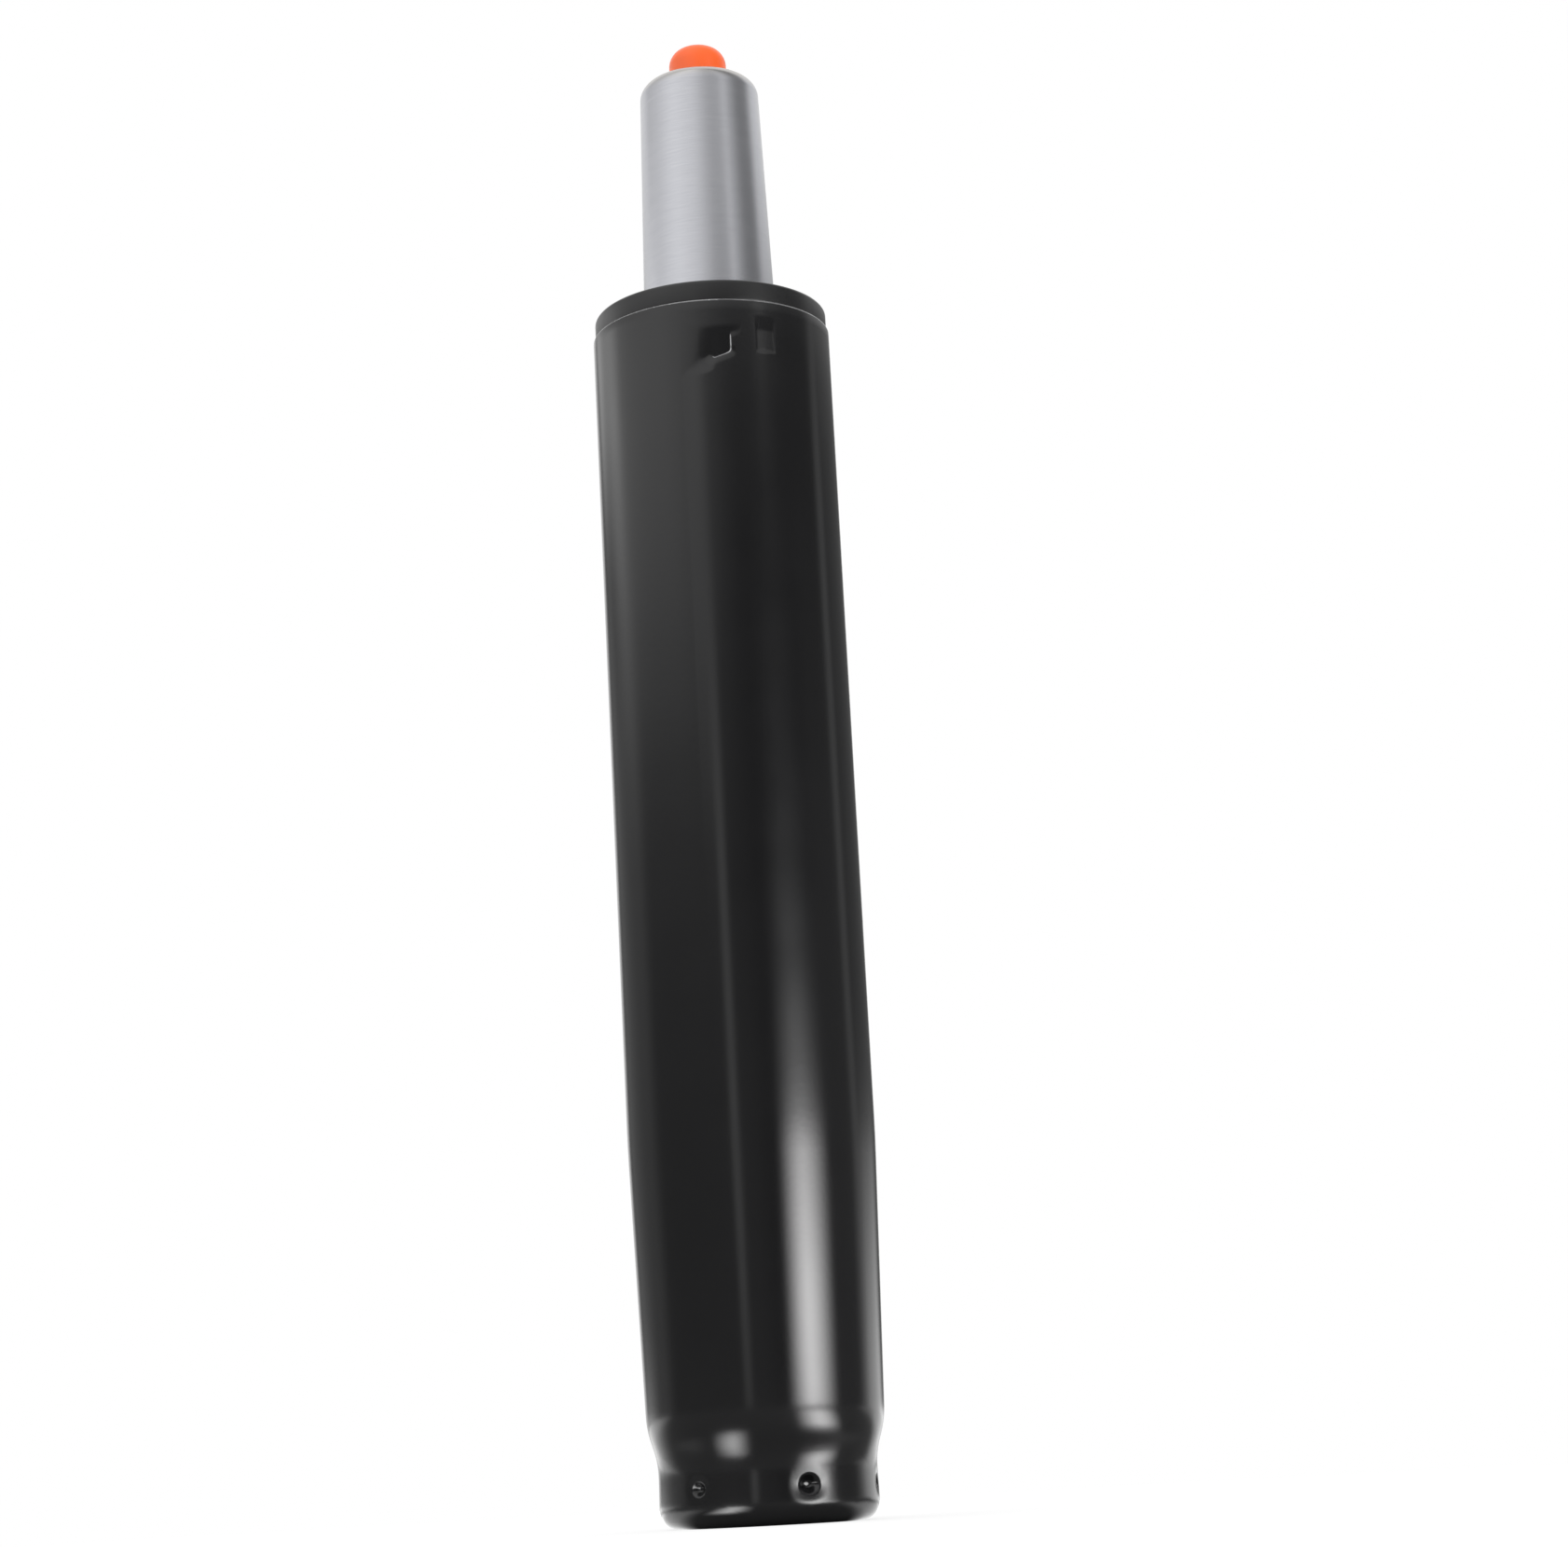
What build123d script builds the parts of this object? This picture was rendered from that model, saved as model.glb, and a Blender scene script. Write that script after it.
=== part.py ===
from build123d import *
import math
import os

# An office chair gas lift cylinder, in millimetres, standing upright with its foot on Z = 0 and its axis on Z.
# It is shown fully lowered. The grey column slides up out of the black stand tube, and the seat fits its top taper.

# Clearances shared by every fit
running_clearance = 0.05
assembly_clearance = 0.1
stop_clearance = 0.3
overrun = 1.0

# Both chair tapers are the standard 1 degree 26 minutes 16 seconds a side
taper_slope = math.tan(math.radians(1 + 26 / 60 + 16 / 3600))

# Motion of the real product: height adjustment and release button travel
lift_stroke = 100.0
button_travel = 4.0

# Stand tube: the black outer tube, swaged to a taper and a necked foot at the bottom
tube_radius = 25.0
tube_wall = 2.0
tube_height = 246.0
tube_top_bevel = 0.4
tube_taper_bottom = 22.0
tube_taper_length = 53.0
neck_step = 2.05
neck_bottom = 10.5
foot_flare = 0.13
foot_edge_radius = 4.2
foot_lip_width = 3.2

# Foot dimples: six punch marks that lock the bottom plate in the foot
dimple_count = 6
dimple_height = 7.5
dimple_first_angle = -68.8
dimple_mouth_radius = 2.2
dimple_floor_radius = 1.1
dimple_depth = 1.5
dimple_dish_depth = 0.4
dimple_dish_radius = 30.0
dimple_boss_radius = 3.0
dimple_boss_tip_radius = 1.7
dimple_boss_rise = 1.2

# Staked tabs: two pairs of sheared notches under the rim that hook into the bushing
stake_pair_count = 2
stake_pair_angle = -75.0
stake_spacing_angle = 23.0
stake_drop = 12.6
stake_height = 6.4
stake_width = 5.2
stake_depth = 1.5

# Guide bushing: the plastic sleeve with a visible flange that guides the column
bushing_flange_radius = 24.5
bushing_flange_height = 4.4
bushing_flange_edge = 0.8
bushing_mouth_chamfer = 1.0
bushing_length = 85.0
bushing_groove_margin = 1.0
bushing_channel_count = 8
bushing_channel_width = 6.0
bushing_core_wall = 4.4
bushing_channel_margin = 6.0

# Bottom plate: a pressed disc, trapped between the rolled lip and the dimples
plate_thickness = 2.4
plate_dish_rise = 2.6
plate_dish_margin = 0.7
plate_dish_slope_width = 2.0

# Thrust bearing between the stand and the turning rod
race_radius = 12.5
race_thickness = 1.6
race_groove_depth = 0.5
race_bore_clearance = 0.3
ball_radius = 2.0
ball_clearance = 0.03
ball_count = 12
ball_pitch_radius = 8.9
cage_thickness = 1.5
cage_inner_radius = 5.4
cage_outer_radius = 12.1

# Piston rod, with a thin spigot at each end
rod_radius = 5.0
rod_spigot_radius = 4.0
rod_end_height = 1.2
rod_end_chamfer = 0.6
rod_thread_reach = 1.2

# Retaining clip and washer under the bottom plate
clip_thickness = 1.0
clip_groove_depth = 0.9
clip_outer_radius = 6.6
clip_mouth_width = 5.4
clip_notch_radius = 1.1
clip_notch_angle = 70.0
clip_washer_radius = 8.2
clip_washer_thickness = 0.9

# Rubber bump stop and its steel washer
bump_stop_radius = 11.0
bump_stop_height = 8.0
bump_stop_waist = 0.9
buffer_washer_radius = 11.6
buffer_washer_thickness = 1.0

# Pressure tube: the grey column, rolled in at the foot and tapered to a rolled shoulder at the top
column_radius = 14.0
column_wall = 1.5
column_foot_edge_radius = 2.0
column_foot_opening = 7.5
column_straight_length = 228.0
column_taper_length = 50.0
column_shoulder_radius = 3.5
column_top_opening = 7.2
column_top_opening_edge = 0.4

# Rod guide stack in the foot of the column
end_washer_thickness = 2.0
rod_guide_height = 10.0
rod_seal_height = 6.0
rod_seal_lip_groove = 1.4
rod_seal_lip_depth = 3.0
seal_washer_thickness = 1.5
support_floor_height = 4.0
support_collar_height = 4.5
support_slot_count = 6
support_slot_width = 3.0
guide_bore_clearance = 0.4

# Inner cylinder and piston
cylinder_bore_radius = 10.0
cylinder_wall = 1.0
piston_washer_radius = 8.8
piston_lower_washer_thickness = 2.0
piston_upper_washer_thickness = 1.5
piston_height = 10.0
piston_seal_height = 3.0
piston_seal_depth = 2.0
nut_width_across_flats = 13.0
nut_height = 5.0

# Valve in the top of the column
valve_cap_thickness = 3.0
valve_cup_depth = 7.5
valve_cup_clearance = 0.4
valve_body_radius = 11.0
valve_spigot_length = 8.0
valve_shoulder_depth = 33.0
valve_port_radius = 1.2
valve_port_count = 4
valve_port_rise = 4.0
valve_seal_section_radius = 0.9
valve_seal_drop = 18.0
pin_radius = 2.5
pin_waist_radius = 1.7
pin_waist_length = 10.0
pin_collar_length = 3.5
pin_head_radius = 4.2
pin_head_thickness = 3.0
pin_seal_section_radius = 0.9
pin_spacer_height = 3.0
pin_bush_height = 3.5
seat_seal_thickness = 0.9

# Release button: the orange cap that the seat lever presses
button_radius = 6.15
button_proud = 8.4
button_dome_rise = 1.0
button_edge_radius = 4.0
button_collar_radius = 7.2
button_collar_height = 2.4
button_socket_depth = 7.5

# Heights and radii that follow from the sizes above, from the foot upwards
tube_inner_radius = tube_radius - tube_wall
tube_taper_top = tube_taper_bottom + tube_taper_length
tube_taper_end_radius = tube_radius - tube_taper_length * taper_slope
neck_radius = tube_taper_end_radius - neck_step
stake_bottom = tube_height - stake_drop
stake_top = stake_bottom + stake_height
foot_radius = neck_radius + foot_flare
foot_flat_radius = foot_radius - foot_edge_radius
foot_opening_radius = foot_flat_radius - foot_lip_width
foot_inner_edge_radius = foot_edge_radius - tube_wall

plate_radius = neck_radius - tube_wall - assembly_clearance
plate_top = tube_wall + plate_thickness
plate_dish_radius = race_radius + plate_dish_margin
plate_dish_bottom = tube_wall + plate_dish_rise
plate_dish_top = plate_top + plate_dish_rise
plate_edge_radius = foot_inner_edge_radius

ball_height = plate_dish_top + race_thickness - race_groove_depth + ball_radius + ball_clearance
upper_race_bottom = ball_height + ball_radius + ball_clearance - race_groove_depth
rod_shoulder = upper_race_bottom + race_thickness
bump_stop_top = rod_shoulder + bump_stop_height
buffer_top = bump_stop_top + buffer_washer_thickness

clip_washer_top = plate_dish_bottom - assembly_clearance
clip_washer_bottom = clip_washer_top - clip_washer_thickness
clip_bottom = clip_washer_bottom - clip_thickness
clip_inner_radius = rod_spigot_radius - clip_groove_depth + running_clearance

column_bottom = buffer_top + stop_clearance
column_inner_radius = column_radius - column_wall
column_taper_bottom = column_bottom + column_straight_length
column_shoulder_height = column_taper_bottom + column_taper_length
column_top = column_shoulder_height + column_shoulder_radius
column_taper_end_radius = column_radius - column_taper_length * taper_slope
column_flat_radius = column_taper_end_radius - column_shoulder_radius
column_fit_radius = column_inner_radius - running_clearance

end_washer_bottom = column_bottom + column_wall
rod_guide_bottom = end_washer_bottom + end_washer_thickness
rod_seal_bottom = rod_guide_bottom + rod_guide_height
seal_washer_bottom = rod_seal_bottom + rod_seal_height
support_bottom = seal_washer_bottom + seal_washer_thickness
cylinder_bottom = support_bottom + support_floor_height
cylinder_outer_radius = cylinder_bore_radius + cylinder_wall

piston_stack_bottom = cylinder_bottom + lift_stroke + stop_clearance
piston_bottom = piston_stack_bottom + piston_lower_washer_thickness
piston_top = piston_bottom + piston_height
nut_bottom = piston_top + piston_upper_washer_thickness
nut_top = nut_bottom + nut_height

valve_cap_top = column_top - column_wall
valve_cap_bottom = valve_cap_top - valve_cap_thickness
valve_cup_floor = valve_cap_bottom - valve_cup_depth
valve_shoulder = column_top - valve_shoulder_depth
valve_bottom = valve_shoulder - valve_spigot_length
valve_seal_height = column_top - valve_seal_drop
pin_bush_bottom = valve_cup_floor - pin_bush_height
pin_upper_seal_height = pin_bush_bottom - pin_seal_section_radius - running_clearance
pin_spacer_top = pin_upper_seal_height - pin_seal_section_radius - running_clearance
pin_spacer_bottom = pin_spacer_top - pin_spacer_height
pin_lower_seal_height = pin_spacer_bottom - pin_seal_section_radius - running_clearance
pin_gland_bottom = pin_lower_seal_height - pin_seal_section_radius - running_clearance
pin_gland_radius = pin_radius + 2 * pin_seal_section_radius + 2 * running_clearance
pin_head_top = valve_bottom - running_clearance - seat_seal_thickness
pin_head_bottom = pin_head_top - pin_head_thickness
pin_waist_bottom = pin_head_top + seat_seal_thickness + pin_collar_length

button_top = column_top + button_proud
button_dome_base = button_top - button_dome_rise
button_collar_top = valve_cap_bottom - running_clearance
button_bottom = button_collar_top - button_collar_height
button_socket_top = button_bottom + button_socket_depth


def radial_plane(angle):
    """A plane through the axis at this angle about Z, with its X axis outwards and its Y axis up."""
    turn = math.radians(angle)
    outwards = (math.cos(turn), math.sin(turn), 0)
    across = (math.sin(turn), -math.cos(turn), 0)
    return Plane(origin=(0, 0, 0), x_dir=outwards, z_dir=across)


def ring(bottom, height, outer_radius, inner_radius):
    """A plain washer, race blank or sleeve, square in section."""
    with BuildPart() as made:
        with BuildSketch(Plane.XY.offset(bottom)):
            Circle(outer_radius)
            Circle(inner_radius, mode=Mode.SUBTRACT)
        extrude(amount=height)
    return made


def seal_ring(height, centre_radius, section_radius):
    """A round-section rubber ring lying level at this height."""
    with BuildPart() as made:
        with BuildSketch(Plane.XZ):
            with Locations((centre_radius, height)):
                Circle(section_radius)
        revolve(axis=Axis.Z)
    return made


def finish(piece, name):
    """Labels a finished piece and writes its file."""
    piece.part.label = name
    export_step(piece.part, f"parts/{name}.step")


os.makedirs("parts", exist_ok=True)


# Stand tube: one turned wall, then the punched dimples and the staked tabs
neck_middle = ((neck_radius + tube_taper_end_radius) / 2, (neck_bottom + tube_taper_bottom) / 2)
inward = (-tube_wall, 0)

with BuildPart() as stand_tube:
    with BuildSketch(Plane.XZ):
        with BuildLine():
            Line((foot_opening_radius, 0), (foot_flat_radius, 0))
            edge = TangentArc((foot_flat_radius, 0), (foot_radius, foot_edge_radius), tangent=(1, 0))
            Line((foot_radius, foot_edge_radius), (neck_radius, neck_bottom))
            lower = TangentArc((neck_radius, neck_bottom), neck_middle, tangent=(0, 1))
            TangentArc(neck_middle, (tube_taper_end_radius, tube_taper_bottom), tangent=lower % 1)
            Line((tube_taper_end_radius, tube_taper_bottom), (tube_radius, tube_taper_top))
            Line((tube_radius, tube_taper_top), (tube_radius, tube_height - tube_top_bevel))
            Line((tube_radius, tube_height - tube_top_bevel), (tube_radius - tube_top_bevel, tube_height))
            Line((tube_radius - tube_top_bevel, tube_height), (tube_inner_radius, tube_height))
            Line((tube_inner_radius, tube_height), (tube_inner_radius, tube_taper_top))
            inner_end = (tube_taper_end_radius - tube_wall, tube_taper_bottom)
            inner_middle = (neck_middle[0] - tube_wall, neck_middle[1])
            inner_neck = (neck_radius - tube_wall, neck_bottom)
            Line((tube_inner_radius, tube_taper_top), inner_end)
            upper = TangentArc(inner_end, inner_middle, tangent=(0, -1))
            TangentArc(inner_middle, inner_neck, tangent=upper % 1)
            Line(inner_neck, (foot_radius - tube_wall, foot_edge_radius))
            TangentArc((foot_radius - tube_wall, foot_edge_radius), (foot_flat_radius, tube_wall), tangent=(0, -1))
            Line((foot_flat_radius, tube_wall), (foot_opening_radius, tube_wall))
            Line((foot_opening_radius, tube_wall), (foot_opening_radius, 0))
        make_face()
    revolve(axis=Axis.Z)

    # Each dimple is a bump inside the wall, and a punched pit in a shallow dish outside it
    inner_face = neck_radius - tube_wall
    with Locations((0, 0, dimple_height)):
        with PolarLocations(inner_face - dimple_boss_rise, dimple_count, dimple_first_angle):
            Cone(
                dimple_boss_tip_radius,
                dimple_boss_radius,
                dimple_boss_rise + tube_wall / 2,
                rotation=(0, 90, 0),
                align=(Align.CENTER, Align.CENTER, Align.MIN),
            )
        with PolarLocations(neck_radius - dimple_dish_depth + dimple_dish_radius, dimple_count, dimple_first_angle):
            Sphere(dimple_dish_radius, mode=Mode.SUBTRACT)
        pit_slope = (dimple_mouth_radius - dimple_floor_radius) / dimple_depth
        with PolarLocations(neck_radius - dimple_depth, dimple_count, dimple_first_angle):
            Cone(
                dimple_floor_radius,
                dimple_mouth_radius + overrun * pit_slope,
                dimple_depth + overrun,
                rotation=(0, 90, 0),
                align=(Align.CENTER, Align.CENTER, Align.MIN),
                mode=Mode.SUBTRACT,
            )

    # Each staked tab slopes in from its top to a sheared bottom edge
    for pair in range(stake_pair_count):
        for side in (-1, 1):
            angle = stake_pair_angle + pair * 360 / stake_pair_count + side * stake_spacing_angle / 2
            with BuildSketch(radial_plane(angle)):
                with BuildLine():
                    Polyline(
                        (tube_inner_radius + tube_wall / 2, stake_bottom),
                        (tube_inner_radius - stake_depth, stake_bottom),
                        (tube_inner_radius, stake_top),
                        (tube_inner_radius + tube_wall / 2, stake_top),
                        close=True,
                    )
                make_face()
            extrude(amount=stake_width / 2, both=True)
            with BuildSketch(radial_plane(angle)):
                with BuildLine():
                    Polyline(
                        (tube_radius + overrun, stake_bottom),
                        (tube_radius - stake_depth, stake_bottom),
                        (tube_radius, stake_top),
                        (tube_radius + overrun, stake_top),
                        close=True,
                    )
                make_face()
            extrude(amount=stake_width / 2, both=True, mode=Mode.SUBTRACT)
finish(stand_tube, "stand_tube")


# Guide bushing: a sleeve with a flange on the tube's rim, a groove for the staked tabs and outer channels
bushing_radius = tube_inner_radius - assembly_clearance
bushing_bore_radius = column_radius + running_clearance
bushing_bottom = tube_height - bushing_length
bushing_top = tube_height + bushing_flange_height
groove_bottom = stake_bottom - bushing_groove_margin
groove_height = stake_height + 2 * bushing_groove_margin
groove_radius = tube_inner_radius - stake_depth - stop_clearance
channel_height = groove_bottom - bushing_channel_margin - bushing_bottom
channel_depth = bushing_radius - bushing_bore_radius - bushing_core_wall

with BuildPart() as guide_bushing:
    with BuildSketch(Plane.XY.offset(bushing_bottom)):
        Circle(bushing_radius)
    extrude(amount=bushing_length)
    with BuildSketch(Plane.XY.offset(tube_height)):
        Circle(bushing_flange_radius)
    extrude(amount=bushing_flange_height)
    fillet(guide_bushing.edges().filter_by(GeomType.CIRCLE).sort_by(Axis.Z)[-1], bushing_flange_edge)
    with BuildSketch(Plane.XY.offset(groove_bottom)):
        Circle(bushing_radius + overrun)
        Circle(groove_radius, mode=Mode.SUBTRACT)
    extrude(amount=groove_height, mode=Mode.SUBTRACT)
    with BuildSketch(Plane.XY.offset(bushing_bottom)):
        with PolarLocations(bushing_radius, bushing_channel_count):
            Rectangle(2 * channel_depth, bushing_channel_width)
    extrude(amount=channel_height, mode=Mode.SUBTRACT)
    with Locations((0, 0, bushing_top)):
        CounterSinkHole(bushing_bore_radius, bushing_bore_radius + bushing_mouth_chamfer, counter_sink_angle=90)
finish(guide_bushing, "guide_bushing")


# Bottom plate: its rim lies on the rolled lip, and its raised middle carries the bearing
plate_slope_end = plate_dish_radius + plate_dish_slope_width
plate_hole_radius = rod_spigot_radius + assembly_clearance
plate_edge_inner = plate_radius - plate_edge_radius

with BuildPart() as bottom_plate:
    with BuildSketch(Plane.XZ):
        with BuildLine():
            Polyline(
                (plate_edge_inner, tube_wall),
                (plate_slope_end, tube_wall),
                (plate_dish_radius, plate_dish_bottom),
                (plate_hole_radius, plate_dish_bottom),
                (plate_hole_radius, plate_dish_top),
                (plate_dish_radius, plate_dish_top),
                (plate_slope_end, plate_top),
                (plate_radius, plate_top),
                (plate_radius, tube_wall + plate_edge_radius),
            )
            TangentArc(
                (plate_radius, tube_wall + plate_edge_radius), (plate_edge_inner, tube_wall), tangent=(0, -1)
            )
        make_face()
    revolve(axis=Axis.Z)
finish(bottom_plate, "bottom_plate")


# Thrust bearing: two grooved races, and a cage of balls that rolls between them
groove_section_radius = ball_radius + ball_clearance


def race(bottom, inner_radius):
    """A race that a ring of balls at ball_height runs in."""
    with BuildPart() as made:
        with BuildSketch(Plane.XY.offset(bottom)):
            Circle(race_radius)
            Circle(inner_radius, mode=Mode.SUBTRACT)
        extrude(amount=race_thickness)
        with BuildSketch(Plane.XZ):
            with Locations((ball_pitch_radius, ball_height)):
                Circle(groove_section_radius)
        revolve(axis=Axis.Z, mode=Mode.SUBTRACT)
    return made


lower_race = race(plate_dish_top, rod_spigot_radius + race_bore_clearance)
finish(lower_race, "lower_race")

upper_race = race(upper_race_bottom, rod_spigot_radius + running_clearance)
finish(upper_race, "upper_race")

with BuildPart() as ball_cage:
    with BuildSketch(Plane.XY.offset(ball_height - cage_thickness / 2)):
        Circle(cage_outer_radius)
        Circle(cage_inner_radius, mode=Mode.SUBTRACT)
        with PolarLocations(ball_pitch_radius, ball_count):
            Circle(ball_radius + assembly_clearance, mode=Mode.SUBTRACT)
    extrude(amount=cage_thickness)
finish(ball_cage, "ball_cage")

with BuildPart() as thrust_balls:
    with Locations((0, 0, ball_height)):
        with PolarLocations(ball_pitch_radius, ball_count):
            Sphere(ball_radius)
finish(thrust_balls, "thrust_balls")


# Piston rod: its lower spigot goes through the bearing and plate, and its upper one carries the piston
rod_top = nut_top + rod_thread_reach

with BuildPart() as piston_rod:
    with BuildSketch(Plane.XY.offset(rod_end_height)):
        Circle(rod_spigot_radius)
    extrude(amount=rod_top - rod_end_height)
    end_circles = piston_rod.edges().filter_by(GeomType.CIRCLE).sort_by(Axis.Z)
    chamfer([end_circles[0], end_circles[-1]], rod_end_chamfer)
    with BuildSketch(Plane.XY.offset(rod_shoulder)):
        Circle(rod_radius)
    extrude(amount=piston_stack_bottom - rod_shoulder)
    with BuildSketch(Plane.XY.offset(clip_bottom - running_clearance)):
        Circle(rod_spigot_radius + overrun)
        Circle(rod_spigot_radius - clip_groove_depth, mode=Mode.SUBTRACT)
    extrude(amount=clip_thickness + running_clearance, mode=Mode.SUBTRACT)
finish(piston_rod, "piston_rod")

clip_washer = ring(
    clip_washer_bottom, clip_washer_thickness, clip_washer_radius, rod_spigot_radius + running_clearance
)
finish(clip_washer, "clip_washer")

with BuildPart() as retaining_clip:
    with BuildSketch(Plane.XY.offset(clip_bottom)):
        Circle(clip_outer_radius)
        Circle(clip_inner_radius, mode=Mode.SUBTRACT)
        with Locations((clip_outer_radius / 2, 0)):
            Rectangle(clip_outer_radius, clip_mouth_width, mode=Mode.SUBTRACT)
        with PolarLocations(clip_inner_radius, 2, 180 - clip_notch_angle, 2 * clip_notch_angle, endpoint=True):
            Circle(clip_notch_radius, mode=Mode.SUBTRACT)
    extrude(amount=clip_thickness)
finish(retaining_clip, "retaining_clip")


# Bump stop: a waisted rubber ring on the upper race, under a steel washer
bump_bore_radius = rod_radius + assembly_clearance
bump_middle = rod_shoulder + bump_stop_height / 2

with BuildPart() as bump_stop:
    with BuildSketch(Plane.XZ):
        with BuildLine():
            Line((bump_bore_radius, bump_stop_top), (bump_bore_radius, rod_shoulder))
            Line((bump_bore_radius, rod_shoulder), (bump_stop_radius, rod_shoulder))
            ThreePointArc(
                (bump_stop_radius, rod_shoulder),
                (bump_stop_radius - bump_stop_waist, bump_middle),
                (bump_stop_radius, bump_stop_top),
            )
            Line((bump_stop_radius, bump_stop_top), (bump_bore_radius, bump_stop_top))
        make_face()
    revolve(axis=Axis.Z)
finish(bump_stop, "bump_stop")

buffer_washer = ring(bump_stop_top, buffer_washer_thickness, buffer_washer_radius, bump_bore_radius)
finish(buffer_washer, "buffer_washer")


# Piston stack on the rod's upper spigot
spigot_bore_radius = rod_spigot_radius + running_clearance

piston_lower_washer = ring(
    piston_stack_bottom, piston_lower_washer_thickness, piston_washer_radius, spigot_bore_radius
)
finish(piston_lower_washer, "piston_lower_washer")

piston_radius = cylinder_bore_radius - assembly_clearance
seal_groove_radius = piston_radius - piston_seal_depth
seal_groove_bottom = piston_bottom + (piston_height - piston_seal_height) / 2

with BuildPart() as piston:
    with BuildSketch(Plane.XY.offset(piston_bottom)):
        Circle(piston_radius)
        Circle(spigot_bore_radius, mode=Mode.SUBTRACT)
    extrude(amount=piston_height)
    with BuildSketch(Plane.XY.offset(seal_groove_bottom)):
        Circle(piston_radius + overrun)
        Circle(seal_groove_radius, mode=Mode.SUBTRACT)
    extrude(amount=piston_seal_height, mode=Mode.SUBTRACT)
finish(piston, "piston")

piston_seal = ring(
    seal_groove_bottom + running_clearance,
    piston_seal_height - 2 * running_clearance,
    cylinder_bore_radius - running_clearance,
    seal_groove_radius + running_clearance,
)
finish(piston_seal, "piston_seal")

piston_upper_washer = ring(piston_top, piston_upper_washer_thickness, piston_washer_radius, spigot_bore_radius)
finish(piston_upper_washer, "piston_upper_washer")

with BuildPart() as piston_nut:
    with BuildSketch(Plane.XY.offset(nut_bottom)):
        RegularPolygon(nut_width_across_flats / 2, 6, major_radius=False)
        Circle(spigot_bore_radius, mode=Mode.SUBTRACT)
    extrude(amount=nut_height)
finish(piston_nut, "piston_nut")


# Pressure tube: one turned wall, rolled in over the rod guide stack and over the valve cap
column_foot_flat = column_radius - column_foot_edge_radius
column_foot_straight = column_bottom + column_foot_edge_radius

with BuildPart() as pressure_tube:
    with BuildSketch(Plane.XZ):
        with BuildLine():
            Line((column_foot_opening, column_bottom), (column_foot_flat, column_bottom))
            TangentArc(
                (column_foot_flat, column_bottom), (column_radius, column_foot_straight), tangent=(1, 0)
            )
            Line((column_radius, column_foot_straight), (column_radius, column_taper_bottom))
            Line((column_radius, column_taper_bottom), (column_taper_end_radius, column_shoulder_height))
            TangentArc(
                (column_taper_end_radius, column_shoulder_height), (column_flat_radius, column_top), tangent=(0, 1)
            )
            Polyline(
                (column_flat_radius, column_top),
                (column_top_opening, column_top),
                (column_top_opening, valve_cap_top),
                (column_flat_radius, valve_cap_top),
            )
            TangentArc(
                (column_flat_radius, valve_cap_top),
                (column_taper_end_radius - column_wall, column_shoulder_height),
                tangent=(1, 0),
            )
            Polyline(
                (column_taper_end_radius - column_wall, column_shoulder_height),
                (column_inner_radius, column_taper_bottom),
                (column_inner_radius, column_foot_straight),
            )
            TangentArc(
                (column_inner_radius, column_foot_straight), (column_foot_flat, end_washer_bottom), tangent=(0, -1)
            )
            Polyline(
                (column_foot_flat, end_washer_bottom),
                (column_foot_opening, end_washer_bottom),
                (column_foot_opening, column_bottom),
            )
        make_face()
    revolve(axis=Axis.Z)
    top_circles = pressure_tube.edges().filter_by(GeomType.CIRCLE).group_by(Axis.Z)[-1]
    fillet(top_circles.sort_by(SortBy.RADIUS)[0], column_top_opening_edge)
finish(pressure_tube, "pressure_tube")


# Rod guide stack: end washer, guide, seal, washer and the support that centres the inner cylinder
washer_bore_radius = rod_radius + guide_bore_clearance
end_washer_edge = column_foot_edge_radius - column_wall + assembly_clearance

with BuildPart() as end_washer:
    with BuildSketch(Plane.XY.offset(end_washer_bottom)):
        Circle(column_fit_radius)
    extrude(amount=end_washer_thickness)
    fillet(end_washer.edges().filter_by(GeomType.CIRCLE).sort_by(Axis.Z)[0], end_washer_edge)
    with Locations((0, 0, rod_guide_bottom)):
        Hole(washer_bore_radius)
finish(end_washer, "end_washer")

rod_guide = ring(rod_guide_bottom, rod_guide_height, column_fit_radius, rod_radius + running_clearance)
finish(rod_guide, "rod_guide")

seal_lip_radius = rod_radius + running_clearance
seal_groove_outer = (column_fit_radius + seal_lip_radius) / 2 + rod_seal_lip_groove / 2

with BuildPart() as rod_seal:
    with BuildSketch(Plane.XY.offset(rod_seal_bottom)):
        Circle(column_fit_radius)
        Circle(seal_lip_radius, mode=Mode.SUBTRACT)
    extrude(amount=rod_seal_height)
    with BuildSketch(Plane.XY.offset(seal_washer_bottom - rod_seal_lip_depth)):
        Circle(seal_groove_outer)
        Circle(seal_groove_outer - rod_seal_lip_groove, mode=Mode.SUBTRACT)
    extrude(amount=rod_seal_lip_depth, mode=Mode.SUBTRACT)
finish(rod_seal, "rod_seal")

seal_washer = ring(seal_washer_bottom, seal_washer_thickness, column_fit_radius, washer_bore_radius)
finish(seal_washer, "seal_washer")

with BuildPart() as cylinder_support:
    with BuildSketch(Plane.XY.offset(support_bottom)):
        Circle(column_fit_radius)
        Circle(washer_bore_radius, mode=Mode.SUBTRACT)
    extrude(amount=support_floor_height)
    with BuildSketch(Plane.XY.offset(cylinder_bottom)):
        Circle(column_fit_radius)
        Circle(cylinder_outer_radius + running_clearance, mode=Mode.SUBTRACT)
    extrude(amount=support_collar_height)
    with BuildSketch(Plane.XY.offset(support_bottom + support_floor_height / 2)):
        with PolarLocations(column_fit_radius, support_slot_count):
            Rectangle(2 * (column_fit_radius - cylinder_bore_radius + overrun), support_slot_width)
    extrude(amount=support_floor_height / 2 + support_collar_height, mode=Mode.SUBTRACT)
finish(cylinder_support, "cylinder_support")

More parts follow.
